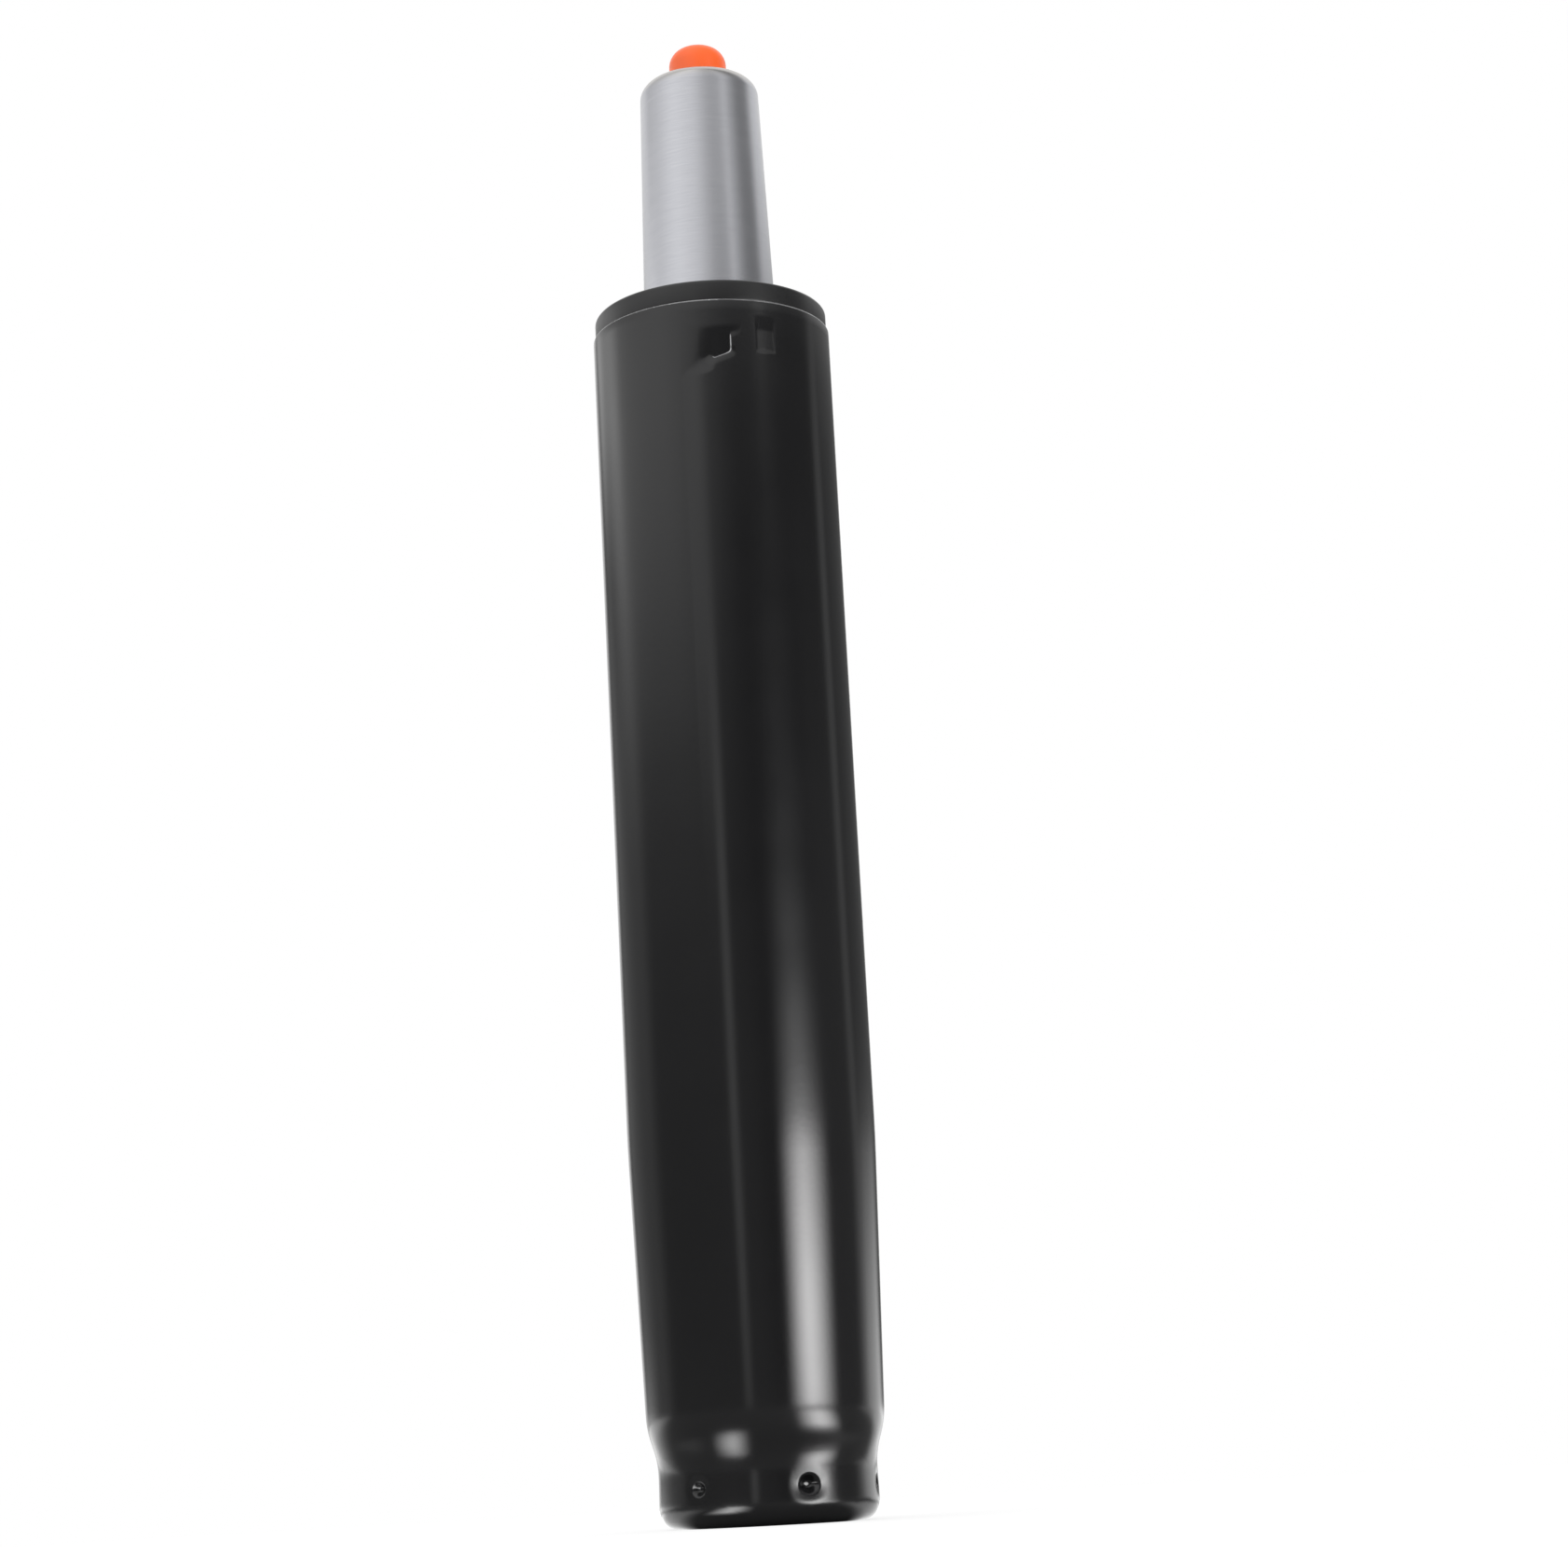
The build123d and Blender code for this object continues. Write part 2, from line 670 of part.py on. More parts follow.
inner_cylinder = ring(
    cylinder_bottom, valve_shoulder - cylinder_bottom, cylinder_outer_radius, cylinder_bore_radius
)
finish(inner_cylinder, "inner_cylinder")


# Valve: its body closes the inner cylinder, and its cup holds the button's collar
valve_cup_radius = button_collar_radius + valve_cup_clearance
pin_bore_radius = pin_radius + assembly_clearance
valve_seal_bore = column_inner_radius - (valve_seal_height - column_taper_bottom) * taper_slope
valve_seal_radius = valve_seal_bore - valve_seal_section_radius - running_clearance
valve_groove_radius = valve_seal_radius - valve_seal_section_radius - running_clearance
valve_groove_height = 2 * (valve_seal_section_radius + running_clearance)

with BuildPart() as valve_body:
    with BuildSketch(Plane.XY.offset(valve_shoulder)):
        Circle(valve_body_radius)
    extrude(amount=valve_cap_bottom - valve_shoulder)
    with BuildSketch(Plane.XY.offset(valve_bottom)):
        Circle(cylinder_bore_radius - running_clearance)
    extrude(amount=valve_spigot_length)
    with BuildSketch(Plane.XY.offset(valve_cup_floor)):
        Circle(valve_cup_radius)
    extrude(amount=valve_cup_depth, mode=Mode.SUBTRACT)
    with BuildSketch(Plane.XY.offset(pin_gland_bottom)):
        Circle(pin_gland_radius)
    extrude(amount=valve_cup_floor - pin_gland_bottom, mode=Mode.SUBTRACT)
    with Locations((0, 0, valve_cup_floor)):
        Hole(pin_bore_radius)
    with Locations((0, 0, valve_shoulder + valve_port_rise)):
        with PolarLocations(0, valve_port_count):
            Cylinder(
                valve_port_radius,
                valve_body_radius + overrun,
                rotation=(0, 90, 0),
                align=(Align.CENTER, Align.CENTER, Align.MIN),
                mode=Mode.SUBTRACT,
            )
    with BuildSketch(Plane.XY.offset(valve_seal_height - valve_groove_height / 2)):
        Circle(valve_body_radius + overrun)
        Circle(valve_groove_radius, mode=Mode.SUBTRACT)
    extrude(amount=valve_groove_height, mode=Mode.SUBTRACT)
finish(valve_body, "valve_body")

valve_body_seal = seal_ring(valve_seal_height, valve_seal_radius, valve_seal_section_radius)
finish(valve_body_seal, "valve_body_seal")

pin_seal_radius = pin_radius + pin_seal_section_radius + running_clearance

with BuildPart() as pin_seals:
    with BuildSketch(Plane.XZ):
        with Locations((pin_seal_radius, pin_lower_seal_height), (pin_seal_radius, pin_upper_seal_height)):
            Circle(pin_seal_section_radius)
    revolve(axis=Axis.Z)
finish(pin_seals, "pin_seals")

pin_seal_spacer = ring(
    pin_spacer_bottom, pin_spacer_height, pin_gland_radius - running_clearance, pin_bore_radius
)
finish(pin_seal_spacer, "pin_seal_spacer")

pin_bush = ring(
    pin_bush_bottom, pin_bush_height, pin_gland_radius - running_clearance, pin_radius + running_clearance
)
finish(pin_bush, "pin_bush")

button_hole_radius = button_radius + 2 * assembly_clearance

with BuildPart() as valve_cap:
    with BuildSketch(Plane.XY.offset(valve_cap_bottom)):
        Circle(valve_body_radius)
    extrude(amount=valve_cap_thickness)
    fillet(
        valve_cap.edges().filter_by(GeomType.CIRCLE).sort_by(Axis.Z)[-1], column_shoulder_radius - column_wall
    )
    with Locations((0, 0, valve_cap_top)):
        Hole(button_hole_radius)
finish(valve_cap, "valve_cap")


# Valve pin: a head under the seat, a waist that opens the ports when pressed, and a stem up to the button
pin_top = button_socket_top - running_clearance
pin_waist_top = pin_waist_bottom + pin_waist_length

with BuildPart() as valve_pin:
    with BuildSketch(Plane.XZ):
        with BuildLine():
            Polyline(
                (0, pin_head_bottom),
                (pin_head_radius, pin_head_bottom),
                (pin_head_radius, pin_head_top),
                (pin_radius, pin_head_top),
                (pin_radius, pin_waist_bottom),
                (pin_waist_radius, pin_waist_bottom),
                (pin_waist_radius, pin_waist_top),
                (pin_radius, pin_waist_top),
                (pin_radius, pin_top),
                (0, pin_top),
                close=True,
            )
        make_face()
    revolve(axis=Axis.Z)
finish(valve_pin, "valve_pin")

valve_seat_seal = ring(pin_head_top, seat_seal_thickness, pin_head_radius, pin_radius + running_clearance)
finish(valve_seat_seal, "valve_seat_seal")


# Release button: a domed cap with a collar that the valve cap keeps in
with BuildPart() as release_button:
    with BuildSketch(Plane.XZ):
        with BuildLine():
            Polyline(
                (0, button_socket_top),
                (pin_radius + running_clearance, button_socket_top),
                (pin_radius + running_clearance, button_bottom),
                (button_collar_radius, button_bottom),
                (button_collar_radius, button_collar_top),
                (button_radius, button_collar_top),
                (button_radius, button_dome_base),
            )
            TangentArc((0, button_top), (button_radius, button_dome_base), tangent=(1, 0))
            Line((0, button_top), (0, button_socket_top))
        make_face()
    revolve(axis=Axis.Z)
    rims = release_button.edges().filter_by(lambda edge: edge.is_closed)
    fillet(rims.sort_by(Axis.Z)[-1], button_edge_radius)
finish(release_button, "release_button")

print("column top", round(column_top, 2), "button top", round(button_top, 2))
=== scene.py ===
# %% [markdown]
# A chair gas lift cylinder
#
# A gas lift holds an office chair's seat up. Its black stand tube wedges into the chair's base, its steel
# column slides up out of that tube, and the orange button on top opens the valve that lets it move.
# Nearly everything here was made on a lathe or a press, so nearly every shape is a half section turned
# round one axis. This script keeps to that: it draws half sections and rolls thin slices round the axis.
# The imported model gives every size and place, and this script only dresses it.

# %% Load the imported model
import math

import bmesh
import bpy
from mathutils import Matrix, Vector


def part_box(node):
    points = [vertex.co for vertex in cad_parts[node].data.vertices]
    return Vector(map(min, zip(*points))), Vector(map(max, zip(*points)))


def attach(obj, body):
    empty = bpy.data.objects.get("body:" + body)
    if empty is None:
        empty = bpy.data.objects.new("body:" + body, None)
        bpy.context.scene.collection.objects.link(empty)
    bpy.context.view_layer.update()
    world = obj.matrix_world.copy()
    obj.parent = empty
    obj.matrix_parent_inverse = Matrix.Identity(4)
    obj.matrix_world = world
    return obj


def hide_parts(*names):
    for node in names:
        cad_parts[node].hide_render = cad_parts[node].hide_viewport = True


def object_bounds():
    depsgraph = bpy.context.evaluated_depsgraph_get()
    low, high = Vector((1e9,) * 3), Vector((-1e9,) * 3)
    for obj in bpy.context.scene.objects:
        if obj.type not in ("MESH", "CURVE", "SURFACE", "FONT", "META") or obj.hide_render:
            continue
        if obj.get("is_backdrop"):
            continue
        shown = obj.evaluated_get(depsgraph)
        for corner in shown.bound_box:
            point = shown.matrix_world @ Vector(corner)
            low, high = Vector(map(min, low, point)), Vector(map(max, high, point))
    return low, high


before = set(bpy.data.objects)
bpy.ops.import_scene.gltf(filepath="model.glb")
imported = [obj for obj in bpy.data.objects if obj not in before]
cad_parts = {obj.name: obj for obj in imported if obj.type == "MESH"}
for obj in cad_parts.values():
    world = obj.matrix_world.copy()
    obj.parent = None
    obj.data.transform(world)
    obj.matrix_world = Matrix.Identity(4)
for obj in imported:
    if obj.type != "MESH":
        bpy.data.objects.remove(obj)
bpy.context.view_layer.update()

# %% [markdown]
# Sizes come first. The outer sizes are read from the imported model, so the dressed pieces fit it exactly.
# Sizes that a box around a node can't tell, such as where a taper starts, are named here in metres.

# %% Sizes
MM = 0.001
TURN = 2 * math.pi

tube_radius, _, tube_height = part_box("stand_tube")[1]
flange_radius, _, flange_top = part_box("guide_bushing")[1]
column_radius, _, column_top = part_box("pressure_tube")[1]
collar_radius, _, button_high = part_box("release_button")[1]
bushing_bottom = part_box("guide_bushing")[0].z
column_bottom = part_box("pressure_tube")[0].z
button_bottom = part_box("release_button")[0].z
button_top = button_high - 0.002 * MM

wall = 2 * MM
taper_slope = math.tan(math.radians(1 + 26 / 60 + 16 / 3600))
taper_bottom = 22 * MM
taper_top = 75 * MM
neck_bottom = 10.5 * MM
neck_step = 2.05 * MM
foot_flare = 0.13 * MM
foot_edge = 4.2 * MM
lip_width = 3.2 * MM
rim_edge = 0.45 * MM

facets = 360
one_facet = TURN / facets
print("tube", round(tube_radius / MM, 2), "x", round(tube_height / MM, 2), "mm")

# %% [markdown]
# Blender builds both materials and Geometry Nodes from node trees. Two small classes keep that readable.
# A Graph adds nodes to a tree, and a Wire is one output of a node that can be used in sums like a number,
# so that a formula in a material reads as a formula here.

# %% Node helpers
class Wire:
    """One output of a node, for use in sums."""

    def __init__(self, graph, socket):
        self.graph = graph
        self.socket = socket

    def math(self, operation, *values):
        return self.graph.add("ShaderNodeMath", dict(enumerate(values)), operation=operation)

    def __add__(self, other):
        return self.math("ADD", self, other)

    def __sub__(self, other):
        return self.math("SUBTRACT", self, other)

    def __rsub__(self, other):
        return self.math("SUBTRACT", other, self)

    def __mul__(self, other):
        return self.math("MULTIPLY", self, other)

    def __truediv__(self, other):
        return self.math("DIVIDE", self, other)

    __radd__, __rmul__ = __add__, __mul__


class Graph:
    """Adds nodes to one tree, and wires them up."""

    def __init__(self, tree):
        self.tree = tree

    def fill(self, node, values):
        for name, value in values.items():
            socket = node.inputs[name]
            if isinstance(value, Wire):
                self.tree.links.new(value.socket, socket)
            else:
                socket.default_value = value

    def node(self, kind, values=None, **settings):
        node = self.tree.nodes.new(kind)
        for name, value in settings.items():
            setattr(node, name, value)
        self.fill(node, values or {})
        return node

    def add(self, kind, values=None, output=0, **settings):
        node = self.node(kind, values, **settings)
        return Wire(self, node.outputs[output])

    def split(self, vector):
        """The x, y and z of a vector."""
        parts = self.node("ShaderNodeSeparateXYZ", {"Vector": vector})
        return [Wire(self, socket) for socket in parts.outputs]

    def rays(self, *kinds):
        """1 on light rays of each kind and 0 on others."""
        path = self.node("ShaderNodeLightPath")
        return [Wire(self, path.outputs[f"Is {kind} Ray"]) for kind in kinds]


# %% [markdown]
# The main tool is one Geometry Nodes tree. It takes a flat sheet whose points are (angle, distance along
# the half section, push outwards), wraps it onto the half section, and repeats it round the axis.
# A lathe in nodes could also sweep the section along a circle, but a wrapped sheet can carry punch marks
# and pressed tabs as well, and they come out round and crisp. At the end the repeats are merged into one
# closed skin, which is given its finish.

# %% The rolling tree
def rolling_tree():
    tree = bpy.data.node_groups.new("roll_round_axis", "GeometryNodeTree")
    inputs = {"Sheet": "Geometry", "Half Section": "Object", "Repeats": "Int"}
    inputs |= {"Weld Distance": "Float", "Finish": "Material"}
    for name, kind in inputs.items():
        tree.interface.new_socket(name, in_out="INPUT", socket_type="NodeSocket" + kind)
    tree.interface.new_socket("Turned Piece", in_out="OUTPUT", socket_type="NodeSocketGeometry")
    graph = Graph(tree)
    given = graph.node("NodeGroupInput")
    sheet, section, repeats, weld, material = (Wire(graph, given.outputs[name]) for name in inputs)

    angle, along, push = graph.split(graph.add("GeometryNodeInputPosition"))
    line = graph.add("GeometryNodeObjectInfo", {"Object": section}, "Geometry")
    values = {"Curves": line, "Length": along}
    sample = graph.node("GeometryNodeSampleCurve", values, mode="LENGTH", use_all_curves=False)
    out, _, up = graph.split(Wire(graph, sample.outputs["Position"]))
    leaning, _, rising = graph.split(Wire(graph, sample.outputs["Tangent"]))
    radius = out + push * rising
    across = radius * angle.math("COSINE", angle)
    deep = radius * angle.math("SINE", angle)
    wrapped = graph.add("ShaderNodeCombineXYZ", {"X": across, "Y": deep, "Z": up - push * leaning})
    slice_made = graph.add("GeometryNodeSetPosition", {"Geometry": sheet, "Position": wrapped})

    axis_points = graph.add("GeometryNodeMeshLine", {"Count": repeats, "Offset": (0, 0, 0)})
    number = graph.add("GeometryNodeInputIndex")
    spin = graph.add("ShaderNodeCombineXYZ", {"Z": number * TURN / repeats})
    values = {"Points": axis_points, "Instance": slice_made, "Rotation": spin}
    copies = graph.add("GeometryNodeInstanceOnPoints", values)
    real = graph.add("GeometryNodeRealizeInstances", {"Geometry": copies})
    welded = graph.add("GeometryNodeMergeByDistance", {"Geometry": real, "Distance": weld})
    finished = graph.add("GeometryNodeSetMaterial", {"Geometry": welded, "Material": material})
    graph.node("NodeGroupOutput", {0: finished})
    return tree


roll_round_axis = rolling_tree()
weld_distance = 0.004 * MM
print("rolling tree:", len(roll_round_axis.nodes), "nodes")

# %% [markdown]
# A half section is a list of (radius, height) points. Real turned parts are lines and arcs that run into
# each other, so the class draws exactly those: a line, or an arc that leaves in the direction in which the
# last stretch arrived. Outer walls go up and inner walls go down, so a push always points out.

# %% Half sections
def placed(name, data):
    """A new object, in the scene."""
    made = bpy.data.objects.new(name, data)
    bpy.context.scene.collection.objects.link(made)
    return made


class HalfSection:
    """A half section drawn as lines and arcs, from one (radius, height) point to the next."""

    arc_step = math.radians(3)
    small_radius = 1 * MM
    small_step = math.radians(10)

    def __init__(self, radius, height):
        self.points = [Vector((radius, height))]

    def line(self, radius, height):
        self.points.append(Vector((radius, height)))
        return self

    def arc(self, radius, height, heading=None):
        start, end = self.points[-1], Vector((radius, height))
        heading = Vector(heading) if heading else start - self.points[-2]
        chord = end - start
        bend = math.atan2(heading.cross(chord), heading.dot(chord))
        reach = chord.length / (2 * math.sin(bend))
        turn = self.small_step if abs(reach) < self.small_radius else self.arc_step
        steps = max(2, math.ceil(abs(2 * bend) / turn))
        first = math.atan2(heading.y, heading.x)
        for step in range(1, steps):
            part = bend * step / steps
            away = 2 * reach * math.sin(part)
            self.points.append(start + away * Vector((math.cos(first + part), math.sin(first + part))))
        self.points.append(end)
        return self

    def round_to(self, corner, end, radius):
        """A line towards a corner that is rounded to this radius, and on to the end."""
        corner, end, start = Vector(corner), Vector(end), self.points[-1]
        before, after = (start - corner).normalized(), (end - corner).normalized()
        back = radius / math.tan(before.angle(after) / 2)
        near, far = corner + before * back, corner + after * back
        self.line(*near).arc(*far, heading=-before)
        return self.line(*end) if (end - far).length > weld_distance else self

    def mark(self):
        """Marks the last point, for soften."""
        self.marked = len(self.points) - 1
        return self

    def soften(self, reach):
        """Evens out what was drawn since the mark over this reach, so that arcs meet without a line."""
        passes, spacing = 18, reach / 3
        stretch = HalfSection(*self.points[self.marked])
        stretch.points += self.points[self.marked + 1:]
        found = stretch.lengths()
        count = math.ceil(found[-1] / spacing)
        even, i = [], 0
        for k in range(count + 1):
            wanted = found[-1] * k / count
            while i < len(found) - 2 and found[i + 1] < wanted:
                i += 1
            share = (wanted - found[i]) / (found[i + 1] - found[i])
            even.append(stretch.points[i].lerp(stretch.points[i + 1], share))
        for _ in range(passes):
            inner = [(a + 2 * b + c) / 4 for a, b, c in zip(even, even[1:], even[2:])]
            even = [even[0], *inner, even[-1]]
        self.points[self.marked:] = even
        return self

    def lengths(self):
        """The distance of each point along the section."""
        total, found = 0.0, [0.0]
        for before, after in zip(self.points, self.points[1:]):
            total += (after - before).length
            found.append(total)
        return found

    def length_at(self, height):
        """The distance along at which the outer wall passes this height."""
        for before, after, length in zip(self.points, self.points[1:], self.lengths()):
            if before.y <= height <= after.y and before.y < after.y:
                return length + (after - before).length * (height - before.y) / (after.y - before.y)
        raise ValueError(f"the outer wall never passes {height}")

    def curve(self):
        """The section as a curve object for the rolling tree."""
        data = bpy.data.curves.new("half_section", "CURVE")
        data.dimensions = "3D"
        line = data.splines.new("POLY")
        line.points.add(len(self.points) - 1)
        for target, point in zip(line.points, self.points):
            target.co = (point.x, 0, point.y, 1)
        return placed("half_section", data)


# %% [markdown]
# A sheet is a list of points, a list of faces, and each point's wear, which says where the finish has
# chipped. A plain slice is one facet wide, with a row at each point of the section. Rolled round 360 times
# it gives a smooth turned wall with no more rows than it needs.

# %% Slices and rolling
def grid(first_angle, columns, lengths):
    angles = [first_angle + one_facet * i for i in range(columns + 1)]
    points = [(angle, length, 0) for length in lengths for angle in angles]
    across = columns + 1
    corners = [across * row + column for row in range(len(lengths) - 1) for column in range(columns)]
    return points, [(i, i + 1, i + across + 1, i + across) for i in corners], [0.0] * len(points)


def joined(*sheets):
    """Several sheets as one. The rolling tree welds them where their borders meet."""
    points, faces, wear = [], [], []
    for more_points, more_faces, more_wear in sheets:
        faces += [tuple(i + len(points) for i in face) for face in more_faces]
        points += more_points
        wear += more_wear
    return points, faces, wear


def rolled(sheet, holder, repeats, material):
    """Runs the rolling tree on one sheet, and returns the plain mesh that it makes."""
    points, faces, wear = sheet
    flat = bpy.data.meshes.new("sheet")
    flat.from_pydata(points, [], faces)
    flat.attributes.new("wear", "FLOAT", "POINT").data.foreach_set("value", wear)
    carrier = placed("carrier", flat)
    roll = carrier.modifiers.new("roll", "NODES")
    roll.node_group = roll_round_axis
    wanted = {"Half Section": holder, "Repeats": repeats, "Finish": material}
    wanted["Weld Distance"] = weld_distance
    for item in roll_round_axis.interface.items_tree:
        if item.name in wanted:
            roll[item.identifier] = wanted[item.name]
    ready = carrier.evaluated_get(bpy.context.evaluated_depsgraph_get())
    mesh = bpy.data.meshes.new_from_object(ready)
    bpy.data.objects.remove(carrier)
    return mesh


def weld_bands(name, meshes, material, crease):
    """Joins rolled bands into one closed piece, with its faces outwards and its sharp corners marked."""
    form = bmesh.new()
    for mesh in meshes:
        form.from_mesh(mesh)
        bpy.data.meshes.remove(mesh)
    bmesh.ops.remove_doubles(form, verts=form.verts, dist=weld_distance)
    bmesh.ops.dissolve_degenerate(form, edges=form.edges, dist=weld_distance / 4)
    bmesh.ops.recalc_face_normals(form, faces=form.faces)
    for face in form.faces:
        face.smooth = True
        face.material_index = 0
    for edge in form.edges:
        edge.smooth = edge.calc_face_angle(0) < math.radians(crease)
    loose = sum(not edge.is_manifold for edge in form.edges)
    mesh = bpy.data.meshes.new(name)
    form.to_mesh(mesh)
    form.free()
    mesh.materials.append(material)
    piece = placed(name, mesh)
    print(name, len(mesh.polygons), "faces,", loose, "open edges")
    return piece


def slices(lengths):
    """A plain band with these rows: a slice one facet wide, and its number of repeats."""
    return grid(0, 1, lengths), facets


def turned(name, section, material, bands=None, crease=40):
    """A turned piece: each band, a sheet and its repeats, rolled round the axis. Most pieces have one."""
    holder = section.curve()
    bands = bands or [slices(section.lengths())]
    meshes = [rolled(sheet, holder, repeats, material) for sheet, repeats in bands]
    bpy.data.objects.remove(holder)
    return weld_bands(name, meshes, material, crease)


# %% [markdown]
# Each finish has a recipe: a short function that says what its surface takes. Every one varies a little,
# because nothing real is one flat colour: paint has orange peel, ground steel has fine lines, and plated
# steel is cloudy. Patterns read Object coordinates, so they stay on the piece when it moves.

# %% Finish helpers
def finish(name, recipe, *settings):
    """A material. Its recipe gets a graph and Object coordinates, and returns what the surface takes."""
    material = bpy.data.materials.new(name)
    material.use_nodes = True
    graph = Graph(material.node_tree)
    place = graph.add("ShaderNodeTexCoord", output="Object")
    graph.fill(material.node_tree.nodes["Principled BSDF"], recipe(graph, place, *settings))
    return material


def speckle(graph, place, size, detail=2):
    """Noise from 0 to 1 whose blotches are about this size."""
    values = {"Vector": place, "Scale": 1 / size, "Detail": detail, "Roughness": 0.5}
    return graph.add("ShaderNodeTexNoise", values, "Fac")


def ring_lines(graph, place, pitch):
    """Fine lines round the axis, as a lathe or a grinding wheel leaves, this far apart."""
    slow = 0.03 / pitch
    stretched = graph.add("ShaderNodeMapping", {"Vector": place, "Scale": (slow, slow, 1 / pitch)})
    values = {"Vector": stretched, "Scale": 1, "Detail": 3, "Roughness": 0.6}
    return graph.add("ShaderNodeTexNoise", values, "Fac")


def bumped(graph, height, depth, before=None):
    """A normal that rises and falls by this depth."""
    values = {"Height": height, "Distance": depth, "Strength": 1}
    return graph.add("ShaderNodeBump", {**values, "Normal": before} if before else values)


def step(graph, value, low, high):
    """0 below low, 1 above high, and a smooth rise between."""
    values = {"Value": value, "From Min": low, "From Max": high}
    return graph.add("ShaderNodeMapRange", values, interpolation_type="SMOOTHSTEP")


def blend_colours(graph, share, first, second):
    """A mix of two colours, each an (r, g, b) or another colour's wire."""
    first, second = (c if isinstance(c, Wire) else (*c, 1) for c in (first, second))
    factor, first_colour, second_colour, mixed_colour = 0, 6, 7, 2
    values = {factor: share, first_colour: first, second_colour: second}
    return graph.add("ShaderNodeMix", values, mixed_colour, data_type="RGBA")


# %% [markdown]
# The stand tube's paint is a baked black coat with a soft shine and a little orange peel. Where the sheared
# rim of the tube pokes at the coat, a few specks of bare steel show, so the rim gets a wear mask.

# %% Black paint
def black_paint(graph, place):
    cloud = speckle(graph, place, 12 * MM)
    peel = speckle(graph, place, 0.9 * MM)
    dust = speckle(graph, place, 0.16 * MM)
    rim_low, rim_high = tube_height - 0.5 * MM, tube_height - 0.3 * MM
    at_rim = step(graph, graph.split(place)[2], rim_low, rim_high)
    spots = step(graph, speckle(graph, place, 0.7 * MM, 4), 0.6, 0.66)
    thin = step(graph, speckle(graph, place, 4 * MM), 0.35, 0.65)
    worn = graph.add("ShaderNodeAttribute", output="Fac", attribute_name="wear")
    bare = step(graph, worn + 0.5 * (cloud - 0.5), 0.45, 0.85)
    chips = (0.2 + 0.25 * thin + 0.55 * spots) * at_rim + 0.8 * bare
    coat = blend_colours(graph, cloud, (0.0104, 0.0104, 0.011), (0.012, 0.012, 0.0127))
    return {
        "Base Color": blend_colours(graph, chips, coat, (0.55, 0.55, 0.56)),
        "Roughness": 0.16 + 0.04 * (cloud - 0.5) + 0.03 * (dust - 0.5),
        "Metallic": chips,
        "IOR": 1.5,
        "Normal": bumped(graph, peel, 0.004 * MM, bumped(graph, dust, 0.0006 * MM)),
    }


# %% [markdown]
# The bushing is moulded black plastic, a touch duller than the paint, with the faint grain of its mould.

# %% Moulded plastics
def moulded(graph, place, dark, light, gloss, grain):
    cloud = speckle(graph, place, 8 * MM)
    skin = speckle(graph, place, grain, 3)
    return {
        "Base Color": blend_colours(graph, cloud, dark, light),
        "Roughness": gloss + 0.08 * (skin - 0.5),
        "Normal": bumped(graph, skin, 0.02 * grain),
    }


# %% [markdown]
# The column is ground between wheels while it spins, which leaves fine lines round it. They spread
# highlights along the column and keep them narrower across it, so the steel gets a little anisotropy too.
# The rolled shoulder isn't ground, and its colour is made slightly warmer towards the top, which gives its
# reflections there a painted warm tint.

# %% Ground steel
def ground_steel(graph, place):
    lines = ring_lines(graph, place, 0.14 * MM)
    bands = ring_lines(graph, place, 1.6 * MM)
    cloud = speckle(graph, place, 9 * MM)
    tone = step(graph, 0.6 * lines + 0.25 * bands + 0.15 * cloud, 0.25, 0.75)
    ground = blend_colours(graph, tone, (0.475, 0.48, 0.508), (0.535, 0.54, 0.57))
    # The shoulder's colour turns warmer towards the top: a painted warm tint in its reflections.
    shoulder_low, shoulder_high = column_top - 3.6 * MM, column_top - 0.8 * MM
    shoulder_with_painted_warm_tint = step(graph, graph.split(place)[2], shoulder_low, shoulder_high)
    return {
        "Base Color": blend_colours(graph, 0.8 * shoulder_with_painted_warm_tint, ground, (0.54, 0.515, 0.475)),
        "Metallic": 1,
        "Roughness": 0.25 + 0.06 * (bands - 0.5) + 0.06 * (cloud - 0.5),
        "Anisotropic": 0.35,
        "Normal": bumped(graph, lines, 0.001 * MM),
    }


# %% [markdown]
# Turned, plated and rubber parts inside and under the foot share three recipes, each with its own colours.

# %% Inner finishes
def turned_metal(graph, place, dark, light, gloss, pitch):
    lines = ring_lines(graph, place, pitch)
    cloud = speckle(graph, place, 5 * MM)
    return {
        "Base Color": blend_colours(graph, 0.7 * lines + 0.3 * cloud, dark, light),
        "Metallic": 1,
        "Roughness": gloss + 0.12 * (cloud - 0.5),
        "Normal": bumped(graph, lines, 0.02 * pitch),
    }


def plated_metal(graph, place, dark, light, gloss):
    cloud = speckle(graph, place, 3 * MM, 4)
    grain = speckle(graph, place, 0.25 * MM)
    return {
        "Base Color": blend_colours(graph, step(graph, cloud, 0.3, 0.7), dark, light),
        "Metallic": 1,
        "Roughness": gloss + 0.2 * (cloud - 0.5),
        "Normal": bumped(graph, grain, 0.004 * MM),
    }


